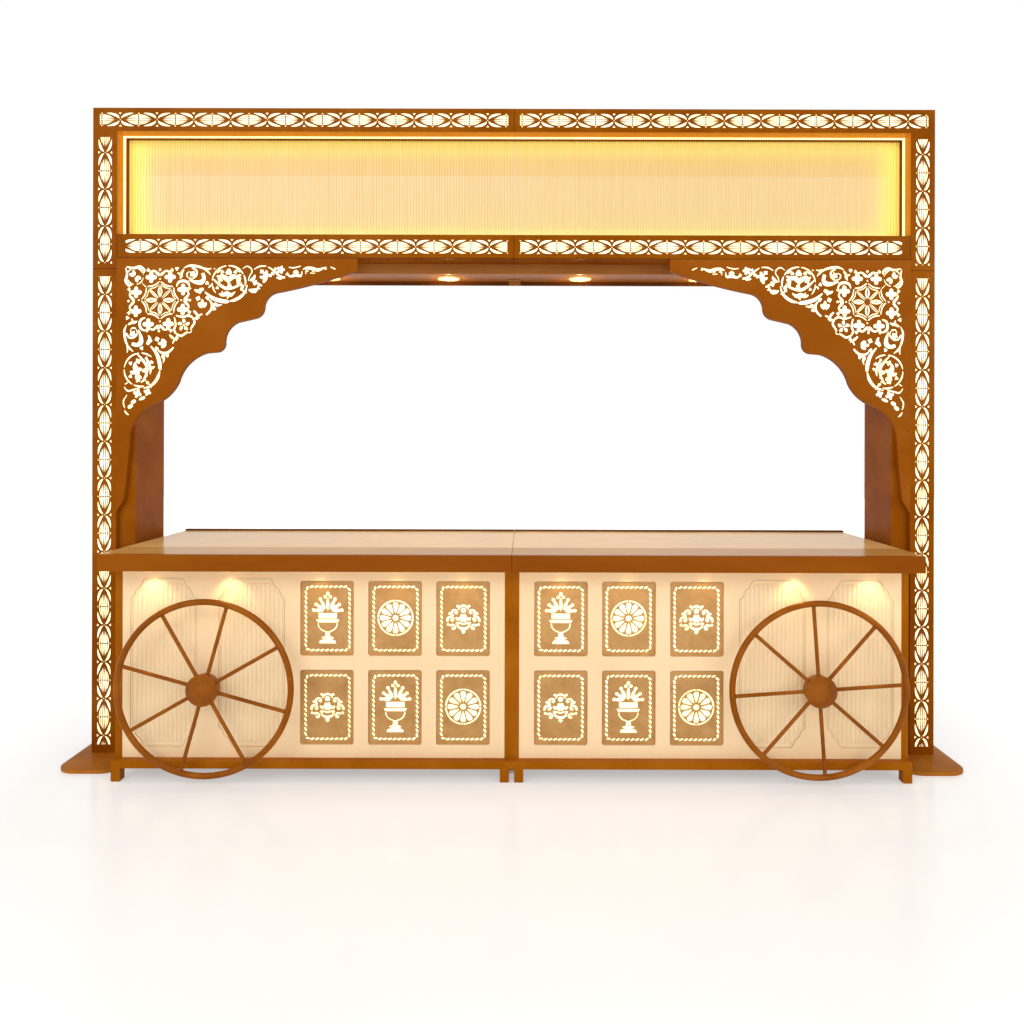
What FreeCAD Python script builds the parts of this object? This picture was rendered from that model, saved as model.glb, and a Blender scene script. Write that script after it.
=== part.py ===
"""Canopy cart counter: two counter tables between lit pillars that carry a header light box.

Millimetres. X runs along the counter, Y from the front to the back, Z up from the floor. The origin is
on the floor, on the centre line, at half the depth. Each piece is made for the right side, where X is
positive, and mirrored for the left, apart from the wheels and the picture tiles.
"""

import FreeCAD, Part
import math
import os
from FreeCAD import Vector

# Overall
counter_depth = 780.0
overall_height = 2440.0
counter_height = 802.0
cut_overrun = 5.0
seat_gap = 0.3
weld_gap = 0.1

# Planes along the depth, measured from the front of the base rail
toe_setback = 75.0
panel_setback = 33.0
column_setback = 245.0
wheel_lead = 45.0

# Counter table frame
table_outer_x = 1395.0
frame_inset_back = 40.0
foot_width = 32.0
foot_depth = 36.0
foot_height = 47.0
foot_inset = 9.0
foot_chamfer = 3.0
base_rail_depth = 75.0
base_rail_height = 27.0
end_rail_width = 40.0
tube_size = 25.0
tube_wall = 2.0
cross_tube_share = 0.5

# Counter boards
top_overhang = 11.0
board_thickness = 18.0
fascia_height = 58.0
soffit_thickness = 12.0
border_width = 205.0
edge_trim_width = 25.0
edge_trim_drop = 4.0
edge_trim_lip = 6.0
panel_thickness = 15.0
end_panel_thickness = 8.0
shelf_thickness = 16.0

# Picture tiles and their light trays
tile_width = 188.0
tile_corner = 7.0
tile_count = 3
first_tile_x = 172.0
tile_pitch = 239.5
tile_margin_below = 45.5
tile_margin_above = 63.5
tile_row_gap = 50.0
tile_recess = 9.0
tile_fit = 0.3
diffuser_thickness = 3.0
tray_margin = 15.0
tray_depth = 45.0
tray_wall = 1.5
light_bar_size = 10.0

# Fluted insets
inset_width = 232.0
inset_margin_below = 38.0
inset_margin_above = 56.0
first_inset_x = 916.0
inset_pitch = 310.0
notch_width = 50.0
notch_height = 68.0
notch_scoop_share = 0.3
inset_pocket = 6.0
inset_board = 3.0
inset_count = 2
reed_count = 9
reed_rise = 2.2

# Wagon wheels
wheel_centre_x = 1055.0
wheel_floor_gap = 28.0
wheel_top_gap = 98.0
rim_tube_radius = 9.25
rim_sides = 6
spoke_radius = 6.5
spoke_sides = 6
spoke_count = 8
left_wheel_angle = -15.4
right_wheel_angle = 4.0
hub_core_radius = 50.0
hub_core_length = 42.0
hub_cap_radius = 54.5
hub_cap_height = 29.0
hub_cap_steps = 3
hub_nose_radius = 9.0
hub_cavity_radius = 22.0
hub_cavity_depth = 18.0
axle_radius = 10.0
axle_running_gap = 0.05
axle_shoulder_radius = 16.0
axle_hole_gap = 1.0
axle_end_gap = 0.3
axle_nut_flats = 30.0
axle_nut_height = 12.0
hex_sides = 6

# Spotlights under the overhang
spot_centres_x = (172.0, 405.0, 675.0, 986.0, 1256.0)
spot_radius = 23.0
spot_height = 8.0
light_sides = 8

# Pillars
column_outer_x = 1585.0
column_width = 90.0
casing_depth = 113.0
sheet_wall = 2.5
column_seam_drop = 41.0
side_wall_inner_x = 1434.0
side_wall_depth = 282.0
base_plate_thickness = 12.0
base_plate_proud = 50.0
base_plate_inner_x = 1405.0
base_plate_lead = 175.0
base_plate_radius = 70.0

# Header light box
header_rail_height = 87.0
header_opening_height = 388.0
lower_rail_height = 90.0
header_recess = 95.0
header_panel_thickness = 4.0
header_back_thickness = 3.0
led_profile_width = 24.0
led_profile_thickness = 6.0
led_profile_setback = 38.0

# Pierced bands
motif_pitch = 138.0
bud_length = 92.0
bud_width = 36.0
band_end_margin = 60.0

# Canopy ceiling
ceiling_drop = 36.0
ceiling_height = 60.0
lip_thickness = 3.0
lip_drop = 16.0
downlight_centres_x = (262.0, 739.0)
downlight_radius = 46.0
downlight_height = 6.0

# Arch brackets
bracket_thickness = 25.0
bracket_reach = 906.0
bracket_drop = 957.0
bracket_skin = 3.0
bracket_cover_thickness = 2.0
petal_count = 8
petal_start = 14.0
petal_length = 44.0
petal_width = 15.0
petal_shoulder_share = 0.4
medallion_windows = 4
medallion_radius = 62.0
medallion_inner_radius = 20.0
medallion_window_turn = 62.0

# Joining pieces and electrics
tie_flats = 18.0
tie_setbacks = (345.0, 475.0)
joining_plate_length = 160.0
joining_plate_height = 50.0
joining_plate_thickness = 4.0
bolt_flats = 12.0
bolt_head = 5.0
bolt_spacing = 100.0
supply_length = 190.0
supply_width = 60.0
supply_height = 35.0
supply_x = 480.0
inlet_width = 48.0
inlet_height = 30.0
inlet_plate_thickness = 3.0
inlet_well_depth = 2.0
inlet_rim = 6.0
inlet_z = 160.0

# The bracket's cusped edge, from its tip to its foot: how far in from the column, how far below the
# header rail, and the bulge of the arc to the next point, as shares of the reach, the drop and the chord
bracket_edge_shares = (
    (1.000, 0.047, -0.02),
    (0.660, 0.135, 0.165),
    (0.611, 0.193, -0.17),
    (0.574, 0.236, 0.0),
    (0.501, 0.252, 0.157),
    (0.448, 0.334, -0.18),
    (0.416, 0.370, 0.0),
    (0.370, 0.374, 0.13),
    (0.255, 0.487, -0.09),
    (0.168, 0.571, 0.135),
    (0.056, 0.690, -0.01),
    (0.031, 0.949, 0.0),
    (0.000, 1.000, 0.0),
)

# Where the ornament's centres lie on the bracket, as shares of its reach and drop
rosette_shares = (0.181, 0.164)
medallion_shares = ((0.104, 0.434), (0.467, 0.098))

# The light pocket behind the ornament, as shares of the reach and drop
bracket_pocket_shares = (
    (0.015, 0.015),
    (0.936, 0.015),
    (0.936, 0.050),
    (0.706, 0.102),
    (0.552, 0.165),
    (0.446, 0.205),
    (0.369, 0.259),
    (0.338, 0.313),
    (0.274, 0.349),
    (0.216, 0.422),
    (0.174, 0.522),
    (0.124, 0.571),
    (0.057, 0.627),
    (0.015, 0.627),
)

# Right halves of the tiles' silhouettes from the bottom up, as shares of the tile's height
urn_shares = (
    (0.114, -0.346),
    (0.114, -0.250),
    (0.050, -0.210),
    (0.139, -0.070),
    (0.156, -0.010),
    (0.127, 0.050),
    (0.200, 0.110),
    (0.110, 0.200),
    (0.000, 0.320),
)
garland_shares = (
    (0.070, -0.190),
    (0.115, -0.205),
    (0.150, -0.130),
    (0.224, -0.090),
    (0.190, 0.000),
    (0.170, 0.100),
    (0.090, 0.130),
    (0.000, 0.188),
)
star_points = 8
star_outer_share = 0.245
star_inner_share = 0.185

# Heights worked out from the sizes above
base_rail_top_z = foot_height + base_rail_height
board_bottom_z = counter_height - board_thickness
top_frame_z = board_bottom_z - tube_size
fascia_bottom_z = counter_height - fascia_height
wheel_radius = (fascia_bottom_z - wheel_top_gap - wheel_floor_gap) / 2
wheel_centre_z = wheel_floor_gap + wheel_radius
tile_height = (top_frame_z - base_rail_top_z - tile_margin_below - tile_margin_above - tile_row_gap) / 2
low_tile_z = base_rail_top_z + tile_margin_below + tile_height / 2
tile_rows_z = (low_tile_z, low_tile_z + tile_height + tile_row_gap)
inset_bottom_z = base_rail_top_z + inset_margin_below
inset_top_z = top_frame_z - inset_margin_above
header_rail_bottom_z = overall_height - header_rail_height
lower_rail_top_z = header_rail_bottom_z - header_opening_height
lower_rail_bottom_z = lower_rail_top_z - lower_rail_height
column_seam_z = lower_rail_bottom_z - column_seam_drop
ceiling_z = lower_rail_bottom_z - ceiling_drop
ceiling_top_z = ceiling_z + ceiling_height

# Places along the depth: the origin is halfway between the foremost piece and the counter's back
hub_reach = wheel_lead + hub_core_length / 2 + hub_cap_height
front_reach = max(toe_setback, hub_reach)
overall_depth = counter_depth - toe_setback + front_reach
rail_front_y = front_reach - overall_depth / 2
fascia_front_y = rail_front_y - toe_setback
fascia_back_y = fascia_front_y + board_thickness
counter_back_y = fascia_front_y + counter_depth
frame_back_y = counter_back_y - frame_inset_back
panel_front_y = rail_front_y + panel_setback
panel_back_y = panel_front_y + panel_thickness
wheel_y = rail_front_y - wheel_lead
column_front_y = rail_front_y + column_setback
casing_back_y = column_front_y + casing_depth
bracket_back_y = column_front_y + bracket_thickness
side_wall_back_y = column_front_y + side_wall_depth
header_panel_y = column_front_y + header_recess

# Spans shared by several pieces
post_span_y = (panel_front_y, panel_front_y + tube_size)
rear_post_span_y = (frame_back_y - tube_size, frame_back_y)
upright_span_y = (panel_back_y + seat_gap, panel_back_y + seat_gap + tube_size)
hub_span_y = (wheel_y - hub_core_length / 2, wheel_y + hub_core_length / 2)
counter_outer_x = table_outer_x + top_overhang
column_inner_x = column_outer_x - column_width
column_span_x = (column_inner_x, column_outer_x)
half_header_x = (seat_gap, column_inner_x)
rim_centre_radius = wheel_radius - rim_tube_radius


def block(x, y, z):
    """A box between two places on each axis."""
    return Part.makeBox(x[1] - x[0], y[1] - y[0], z[1] - z[0], Vector(x[0], y[0], z[0]))


def grown(span, margin):
    """A span that is longer by the margin at both ends."""
    return (span[0] - margin, span[1] + margin)


def around(centre, size):
    """A span of the given size about its centre."""
    return (centre - size / 2, centre + size / 2)


def middle(span):
    """The middle of a span."""
    return (span[0] + span[1]) / 2


def tube(x, y, z, along, wall=tube_wall):
    """A square tube that is open at both ends along the named axis."""
    inner = {"x": grown(x, -wall), "y": grown(y, -wall), "z": grown(z, -wall)}
    outer = {"x": x, "y": y, "z": z}
    inner[along] = grown(outer[along], cut_overrun)
    return block(x, y, z).cut(block(inner["x"], inner["y"], inner["z"]))


def across_y(radius, x, z, y):
    """A round bar along Y between two depths."""
    return Part.makeCylinder(radius, y[1] - y[0], Vector(x, y[0], z), Vector(0, 1, 0))


def prism(sides, flats, start, end, up):
    """A bar with flat sides between two points, with one flat facing the up direction."""
    run = end - start
    outward = Vector(up).normalize()
    sideways = run.cross(outward).normalize()
    corner = flats / 2 / math.cos(math.pi / sides)
    points = []
    for step in range(sides + 1):
        turn = 2 * math.pi * (step + 1 / 2) / sides
        points.append(start + outward * (corner * math.cos(turn)) + sideways * (corner * math.sin(turn)))
    return Part.Face(Part.makePolygon(points)).extrude(run)


def puck(radius, x, y, z):
    """A flat eight-sided light between two heights."""
    ends = [Vector(x, y, height) for height in z]
    return prism(light_sides, 2 * radius, *ends, Vector(1, 0, 0))


def mirrored(shape):
    """The same piece on the left side."""
    return shape.mirror(Vector(), Vector(1, 0, 0))


def bulged_wire(points, y):
    """A closed outline in the XZ plane of (x, z, bulge) points.

    The bulge is the height of the arc to the next point as a share of its chord, to the left of travel.
    """
    edges = []
    for (x, z, bulge), (next_x, next_z, _) in zip(points, points[1:] + points[:1]):
        start = Vector(x, y, z)
        end = Vector(next_x, y, next_z)
        chord = end - start
        if bulge:
            left = Vector(-chord.z, 0, chord.x)
            edges.append(Part.Arc(start, (start + end) / 2 + left * bulge, end).toShape())
        else:
            edges.append(Part.makeLine(start, end))
    return Part.Wire(edges)


def slab(points, y):
    """An outline in the XZ plane made into a plate between two depths."""
    return Part.Face(bulged_wire(points, y[0])).extrude(Vector(0, y[1] - y[0], 0))


def straight(points):
    """Plain (x, z) points as an outline with no arcs."""
    return [(x, z, 0.0) for x, z in points]


def kite(centre, angle, start, length, width):
    """A pointed petal that lies along an angle and is widest at its shoulder."""
    turn = math.radians(angle)
    outward = (math.cos(turn), math.sin(turn))
    points = []
    shoulder = petal_shoulder_share
    for along, across in ((0, 0), (shoulder, -width / 2), (1, 0), (shoulder, width / 2)):
        reach = start + along * length
        points.append(
            (
                centre[0] + reach * outward[0] - across * outward[1],
                centre[1] + reach * outward[1] + across * outward[0],
            )
        )
    return straight(points)


def clipped_outline(x, z, corner):
    """A rectangle with clipped corners."""
    return straight(
        [
            (x[0] + corner, z[0]),
            (x[1] - corner, z[0]),
            (x[1], z[0] + corner),
            (x[1], z[1] - corner),
            (x[1] - corner, z[1]),
            (x[0] + corner, z[1]),
            (x[0], z[1] - corner),
            (x[0], z[0] + corner),
        ]
    )


def notched_outline(x, z):
    """An inset's outline, whose four corners are scooped out in two straight cuts."""
    scoop_x = notch_width * (1 - notch_scoop_share)
    scoop_z = notch_height * (1 - notch_scoop_share)
    points = []
    for edge_x, edge_z, way_x, way_z in (
        (x[1], z[0], -1, 1),
        (x[1], z[1], -1, -1),
        (x[0], z[1], 1, -1),
        (x[0], z[0], 1, 1),
    ):
        corner = [
            (edge_x + way_x * notch_width, edge_z),
            (edge_x + way_x * scoop_x, edge_z + way_z * scoop_z),
            (edge_x, edge_z + way_z * notch_height),
        ]
        points += corner if way_x * way_z < 0 else corner[::-1]
    return straight(points)


# Counter table frame


def base_frame():
    """The tube rectangle on the feet, with a cross rail at the middle."""
    inner, outer = seat_gap, table_outer_x
    height = (foot_height, base_rail_top_z)
    front = (rail_front_y, rail_front_y + base_rail_depth)
    rear = (frame_back_y - base_rail_depth, frame_back_y)
    between = (front[1], rear[0])
    cross_x = inner + (outer - inner) * cross_tube_share
    return [
        tube((inner, outer), front, height, "x"),
        tube((inner, outer), rear, height, "x"),
        tube((inner, inner + end_rail_width), between, height, "y"),
        tube(around(cross_x, end_rail_width), between, height, "y"),
        tube((outer - end_rail_width, outer), between, height, "y"),
    ]


def levelling_feet():
    """Square feet whose lower edges are chamfered."""
    along = (
        (foot_inset, foot_inset + foot_width),
        (table_outer_x - foot_width, table_outer_x),
    )
    through = (
        (rail_front_y, rail_front_y + foot_depth),
        (frame_back_y - foot_depth, frame_back_y),
    )
    feet = []
    for x in along:
        for y in through:
            foot = block(x, y, (0, foot_height))
            lower = [edge for edge in foot.Edges if edge.BoundBox.ZMax < foot_chamfer]
            feet.append(foot.makeChamfer(foot_chamfer, lower))
    return feet


def table_posts():
    """Corner posts between the two frames, and the upright that carries the wheel's axle."""
    height = (base_rail_top_z, top_frame_z)
    inner = (seat_gap, seat_gap + tube_size)
    outer = (table_outer_x - tube_size, table_outer_x)
    posts = [
        tube(x, y, height, "z")
        for x in (inner, outer)
        for y in (post_span_y, rear_post_span_y)
    ]
    return posts + [tube(around(wheel_centre_x, tube_size), upright_span_y, height, "z")]


def top_frame():
    """The tube rectangle under the counter boards."""
    inner, outer = seat_gap, table_outer_x
    height = (top_frame_z, board_bottom_z)
    front = (post_span_y[0], upright_span_y[1])
    between = (front[1], rear_post_span_y[0])
    cross_x = inner + (outer - inner) * cross_tube_share
    return [
        tube((inner, outer), front, height, "x"),
        tube((inner, outer), rear_post_span_y, height, "x"),
        tube((inner, inner + tube_size), between, height, "y"),
        tube(around(cross_x, tube_size), between, height, "y"),
        tube((outer - tube_size, outer), between, height, "y"),
    ]


def storage_shelf():
    """A board on the base frame, between the upright and the rear posts."""
    return [
        block(
            (seat_gap, table_outer_x - end_panel_thickness - seat_gap),
            (upright_span_y[1] + seat_gap, rear_post_span_y[0] - seat_gap),
            (base_rail_top_z, base_rail_top_z + shelf_thickness),
        )
    ]


def end_panel():
    """The board that closes the table's outer end, between its posts."""
    return [
        block(
            (table_outer_x - end_panel_thickness, table_outer_x),
            (post_span_y[1] + seat_gap, rear_post_span_y[0] - seat_gap),
            (base_rail_top_z, top_frame_z),
        )
    ]


# Front panel, tiles and insets


def tile_spans(x, z, margin):
    """The spans of a tile along X and Z, grown by a margin."""
    return grown(around(x, tile_width), margin), grown(around(z, tile_height), margin)


def tile_places(side):
    """Each tile's column from the left, its row from the bottom, and its centre."""
    sign = -1 if side == "left" else 1
    centres = sorted(sign * (first_tile_x + step * tile_pitch) for step in range(tile_count))
    return [
        (column, row, x, z)
        for row, z in enumerate(tile_rows_z)
        for column, x in enumerate(centres)
    ]


def inset_spans(margin):
    """The spans of the two insets along X and Z, grown by a margin."""
    height = grown((inset_bottom_z, inset_top_z), margin)
    return [
        (grown(around(first_inset_x + step * inset_pitch, inset_width), margin), height)
        for step in range(inset_count)
    ]


def front_panel():
    """The board with six tile windows, two notched pockets and the axle's hole."""
    inner = seat_gap + tube_size + seat_gap
    outer = table_outer_x - tube_size - seat_gap
    through = grown((panel_front_y, panel_back_y), cut_overrun)
    pocket = (panel_front_y - cut_overrun, panel_front_y + inset_pocket)
    board = block(
        (inner, outer), (panel_front_y, panel_back_y), (base_rail_top_z, top_frame_z)
    )
    cuts = [across_y(axle_shoulder_radius + axle_hole_gap, wheel_centre_x, wheel_centre_z, through)]
    for _, _, x, z in tile_places("right"):
        cuts.append(slab(clipped_outline(*tile_spans(x, z, tile_fit), tile_corner), through))
    for x, z in inset_spans(0):
        cuts.append(slab(notched_outline(x, z), pocket))
    return [board.cut(cuts)]


def reeded_board(x, z, back_y):
    """A thin board whose face is a row of upright ridges, one for each reed."""
    pitch = (x[1] - x[0]) / reed_count
    groove_y = back_y - inset_board
    points = [Vector(x[0], back_y, z[0])]
    for step in range(reed_count):
        points.append(Vector(x[0] + step * pitch, groove_y, z[0]))
        points.append(Vector(x[0] + (step + 1 / 2) * pitch, groove_y - reed_rise, z[0]))
    points.append(Vector(x[1], groove_y, z[0]))
    points.append(Vector(x[1], back_y, z[0]))
    return Part.Face(Part.makePolygon(points + points[:1])).extrude(Vector(0, 0, z[1] - z[0]))


def fluted_insets():
    """Reeded boards cut to the notched outline and seated on the pockets' floors."""
    floor_y = panel_front_y + inset_pocket
    insets = []
    for x, z in inset_spans(-tile_fit):
        outline = slab(notched_outline(x, z), (panel_front_y, floor_y))
        insets.append(reeded_board(x, z, floor_y).common(outline))
    return insets


def silhouette(shares, x, z):
    """A closed outline from its right half, about a tile's centre."""
    right = [(x + across * tile_height, z + up * tile_height) for across, up in shares]
    left = [(2 * x - px, pz) for px, pz in reversed(right) if px != x]
    return straight(right + left)


def urn(x, z):
    """An urn with a bushy plant."""
    return silhouette(urn_shares, x, z)


def garland(x, z):
    """A hanging garland with a crown of leaves."""
    return silhouette(garland_shares, x, z)


def rosette(x, z):
    """An eight-pointed rosette."""
    points = []
    for step in range(2 * star_points):
        share = star_inner_share if step % 2 else star_outer_share
        turn = math.pi * step / star_points
        reach = share * tile_height
        points.append((x + reach * math.cos(turn), z + reach * math.sin(turn)))
    return straight(points)


def tile_motif(column, row, x, z):
    """The pierced shape of one tile: the three take turns, and each row starts one further on."""
    motifs = (garland, urn, rosette)
    return motifs[(column + row) % len(motifs)](x, z)


def picture_tiles(side):
    """Plates in the windows, set back from the panel's face, each with its pierced shape."""
    depth = (panel_front_y + tile_recess, panel_back_y)
    tiles = []
    for column, row, x, z in tile_places(side):
        plate = slab(clipped_outline(*tile_spans(x, z, 0), tile_corner), depth)
        motif = slab(tile_motif(column, row, x, z), grown(depth, cut_overrun))
        tiles.append(plate.cut(motif))
    return tiles


def tray_spans():
    """The light tray's spans along X, Y and Z, behind all six windows."""
    last_tile_x = first_tile_x + (tile_count - 1) * tile_pitch
    width = (first_tile_x - tile_width / 2, last_tile_x + tile_width / 2)
    height = (tile_rows_z[0] - tile_height / 2, tile_rows_z[-1] + tile_height / 2)
    depth = (panel_back_y, panel_back_y + tray_depth)
    return grown(width, tray_margin), depth, grown(height, tray_margin)


def tile_light_box():
    """A shallow tray that is open towards the panel."""
    x, y, z = tray_spans()
    hollow_y = (y[0] - cut_overrun, y[1] - tray_wall)
    hollow = block(grown(x, -tray_wall), hollow_y, grown(z, -tray_wall))
    return [block(x, y, z).cut(hollow)]


def tile_diffuser():
    """A milky sheet in the mouth of the tray, against the panel's back."""
    x, y, z = tray_spans()
    inside = -tray_wall - seat_gap
    depth = (panel_back_y, panel_back_y + diffuser_thickness)
    return [block(grown(x, inside), depth, grown(z, inside))]


# Counter boards


def fascia():
    """The front board, and the narrow skirt that covers the frame's outer end."""
    height = (fascia_bottom_z, counter_height)
    skirt_y = (fascia_back_y, counter_back_y - edge_trim_width)
    return [
        block((seat_gap, counter_outer_x), (fascia_front_y, fascia_back_y), height),
        block((table_outer_x, counter_outer_x), skirt_y, (height[0], board_bottom_z)),
    ]


def border_board():
    """The brown board along the front of the top."""
    depth = (fascia_back_y, fascia_front_y + border_width)
    return [block((seat_gap, counter_outer_x), depth, (board_bottom_z, counter_height))]


def cream_top():
    """The working surface behind the brown border."""
    depth = (fascia_front_y + border_width, counter_back_y - edge_trim_width)
    return [block((seat_gap, counter_outer_x), depth, (board_bottom_z, counter_height))]


def rear_edge_trim():
    """The strip along the back edge, with a low lip above the top."""
    depth = (counter_back_y - edge_trim_width, counter_back_y)
    height = (board_bottom_z - edge_trim_drop, counter_height + edge_trim_lip)
    return [block((seat_gap, counter_outer_x), depth, height)]


def soffit_board():
    """The board under the overhang, between the fascia and the front panel."""
    height = (fascia_bottom_z, fascia_bottom_z + soffit_thickness)
    return [block((seat_gap, table_outer_x), (fascia_back_y, panel_front_y), height)]


def panel_spotlights():
    """Flat lights under the soffit board."""
    y = middle((fascia_back_y, panel_front_y))
    height = (fascia_bottom_z - spot_height, fascia_bottom_z)
    return [puck(spot_radius, x, y, height) for x in spot_centres_x]


# Wagon wheels


def wheel_x(side):
    return -wheel_centre_x if side == "left" else wheel_centre_x


def revolved(points, x):
    """A profile of (radius, y) points turned about the wheel's axis."""
    corners = [Vector(x + radius, y, wheel_centre_z) for radius, y in points]
    face = Part.Face(Part.makePolygon(corners + corners[:1]))
    return face.revolve(Vector(x, 0, wheel_centre_z), Vector(0, 1, 0), 360)


def wheel_rim(side):
    """The bent tube of the rim, with a many-sided section."""
    corner = rim_tube_radius / math.cos(math.pi / rim_sides)
    section = []
    for step in range(rim_sides):
        turn = 2 * math.pi * (step + 1 / 2) / rim_sides
        section.append(
            (rim_centre_radius + corner * math.cos(turn), wheel_y + corner * math.sin(turn))
        )
    return [revolved(section, wheel_x(side))]


def spokes(side):
    """Straight spokes welded between the hub core and the rim."""
    first = left_wheel_angle if side == "left" else right_wheel_angle
    centre = Vector(wheel_x(side), wheel_y, wheel_centre_z)
    bars = []
    for step in range(spoke_count):
        turn = math.radians(first + 360 / spoke_count * step)
        outward = Vector(math.cos(turn), 0, math.sin(turn))
        start = centre + outward * (hub_core_radius + weld_gap)
        end = centre + outward * (rim_centre_radius - rim_tube_radius - weld_gap)
        bars.append(prism(spoke_sides, 2 * spoke_radius, start, end, Vector(0, 1, 0)))
    return bars


def hub_core(side):
    """The turned core that runs on the axle."""
    front, back = hub_span_y
    bore = axle_radius + axle_running_gap
    core = [(bore, front), (hub_core_radius, front), (hub_core_radius, back), (bore, back)]
    return revolved(core, wheel_x(side))


def hub_cap(side):
    """A stepped dome on the front of the core, hollow round the nut."""
    front = hub_span_y[0]
    cap = [(hub_cavity_radius, front), (hub_cap_radius, front)]
    radius = hub_cap_radius
    for step in range(1, hub_cap_steps + 1):
        share = step / hub_cap_steps
        y = front - hub_cap_height * (1 - (1 - share) ** 2)
        cap.append((radius, y))
        radius = hub_cap_radius + (hub_nose_radius - hub_cap_radius) * share
        cap.append((radius, y))
    cap.append((0, front - hub_cap_height))
    cap.append((0, front - hub_cavity_depth))
    cap.append((hub_cavity_radius, front - hub_cavity_depth))
    return revolved(cap, wheel_x(side))


def wheel_hub(side):
    """The core, its cap and the spokes."""
    return [hub_core(side), hub_cap(side)] + spokes(side)


def stub_axle():
    """The axle from its upright to its cap nut, with a shoulder that spaces the hub off the panel."""
    front, back = hub_span_y
    nut_y = front - axle_end_gap
    shoulder_y = back + axle_end_gap
    profile = [
        (0, nut_y),
        (axle_radius, nut_y),
        (axle_radius, shoulder_y),
        (axle_shoulder_radius, shoulder_y),
        (axle_shoulder_radius, upright_span_y[0]),
        (0, upright_span_y[0]),
    ]
    seat = Vector(wheel_centre_x, nut_y, wheel_centre_z)
    nut = prism(hex_sides, axle_nut_flats, seat, seat - Vector(0, axle_nut_height, 0), Vector(0, 0, 1))
    return [revolved(profile, wheel_centre_x), nut]


# Pillars


def base_plate():
    """A long floor plate with round ends."""
    x = (base_plate_inner_x, column_outer_x + base_plate_proud)
    y = (column_front_y - base_plate_lead, side_wall_back_y + base_plate_lead)
    plate = block(x, y, (0, base_plate_thickness))
    upright = [
        edge
        for edge in plate.Edges
        if edge.BoundBox.XLength + edge.BoundBox.YLength < base_plate_thickness
    ]
    return [plate.makeFillet(base_plate_radius, upright)]


def bud(x, z, along):
    """One bud of a band, pointed at both ends and long in the band's direction."""
    half_length = bud_length / 2
    half_width = bud_width / 2
    corners = [(-half_length, 0), (0, -half_width), (half_length, 0), (0, half_width)]
    if along == "x":
        return straight([(x + run, z + side) for run, side in corners])
    return straight([(x - side, z + run) for run, side in corners])


def pierced_casing(x, z, along):
    """A square casing with a row of buds cut through its front sheet."""
    casing = tube(x, (column_front_y, casing_back_y), z, along, sheet_wall)
    band = grown(x if along == "x" else z, -band_end_margin)
    count = int((band[1] - band[0]) / motif_pitch) + 1
    first = middle(band) - (count - 1) * motif_pitch / 2
    sheet = grown((column_front_y, column_front_y + sheet_wall), cut_overrun / 2)
    buds = []
    for step in range(count):
        place = first + step * motif_pitch
        if along == "x":
            buds.append(slab(bud(place, middle(z), along), sheet))
        else:
            buds.append(slab(bud(middle(x), place, along), sheet))
    return casing.cut(buds)


def casing_spans():
    """The spans along X and Z of the four casings on one side, and the axis each runs along."""
    return {
        "lower_column": (column_span_x, (base_plate_thickness, column_seam_z), "z"),
        "upper_column": (column_span_x, (column_seam_z, header_rail_bottom_z), "z"),
        "top_rail": ((seat_gap, column_outer_x), (header_rail_bottom_z, overall_height), "x"),
        "lower_rail": (half_header_x, (lower_rail_bottom_z, lower_rail_top_z), "x"),
    }


def lower_column():
    return [pierced_casing(*casing_spans()["lower_column"])]


def upper_column():
    return [pierced_casing(*casing_spans()["upper_column"])]


def header_top_rail():
    """Half of the top rail, with a sheet that closes its outer end."""
    x, z, along = casing_spans()["top_rail"]
    casing = pierced_casing(x, z, along)
    inside_y = grown((column_front_y, casing_back_y), -sheet_wall)
    cap = block((x[1] - sheet_wall, x[1]), inside_y, grown(z, -sheet_wall))
    return [casing.fuse(cap).removeSplitter()]


def header_lower_rail():
    return [pierced_casing(*casing_spans()["lower_rail"])]


def side_wall_plan(margin, z):
    """The side wall's L-shaped plan: beside the column, then behind it, drawn in by a margin."""
    x = grown((side_wall_inner_x, column_outer_x), -margin)
    step_x = column_inner_x - margin
    step_y = casing_back_y + margin
    y = grown((bracket_back_y, side_wall_back_y), -margin)
    corners = [
        (x[0], y[0]),
        (step_x, y[0]),
        (step_x, step_y),
        (x[1], step_y),
        (x[1], y[1]),
        (x[0], y[1]),
        (x[0], y[0]),
    ]
    return Part.Face(Part.makePolygon([Vector(px, py, z) for px, py in corners]))


def side_wall():
    """The folded sheet wall behind the column, closed at its top."""
    low, high = base_plate_thickness, lower_rail_bottom_z
    outer = side_wall_plan(0, low).extrude(Vector(0, 0, high - low))
    hollow_z = (low - cut_overrun, high - sheet_wall)
    hollow = side_wall_plan(sheet_wall, hollow_z[0])
    return [outer.cut(hollow.extrude(Vector(0, 0, hollow_z[1] - hollow_z[0])))]


def band_diffusers():
    """Milky strips against the inside of each casing's face."""
    front_y = column_front_y + sheet_wall
    depth = (front_y, front_y + diffuser_thickness)
    inside = -sheet_wall - seat_gap
    strips = []
    for x, z, along in casing_spans().values():
        if along == "x":
            strips.append(block(grown(x, inside), depth, grown(z, inside)))
        else:
            strips.append(block(grown(x, inside), depth, grown(z, -seat_gap)))
    return strips


def led_bars():
    """Light bars on the inner back of each casing and in the tile tray."""
    back_y = casing_back_y - sheet_wall
    depth = (back_y - light_bar_size, back_y)
    bars = []
    for x, z, along in casing_spans().values():
        if along == "x":
            bars.append(block(grown(x, -column_width), depth, around(middle(z), light_bar_size)))
        else:
            bars.append(block(around(middle(x), light_bar_size), depth, grown(z, -column_width)))
    x, y, _ = tray_spans()
    tray_back_y = y[1] - tray_wall
    tray_depth_y = (tray_back_y - light_bar_size, tray_back_y)
    for row_z in tile_rows_z:
        bars.append(block(grown(x, -tray_margin), tray_depth_y, around(row_z, light_bar_size)))
    return bars


# Header light box


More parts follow.
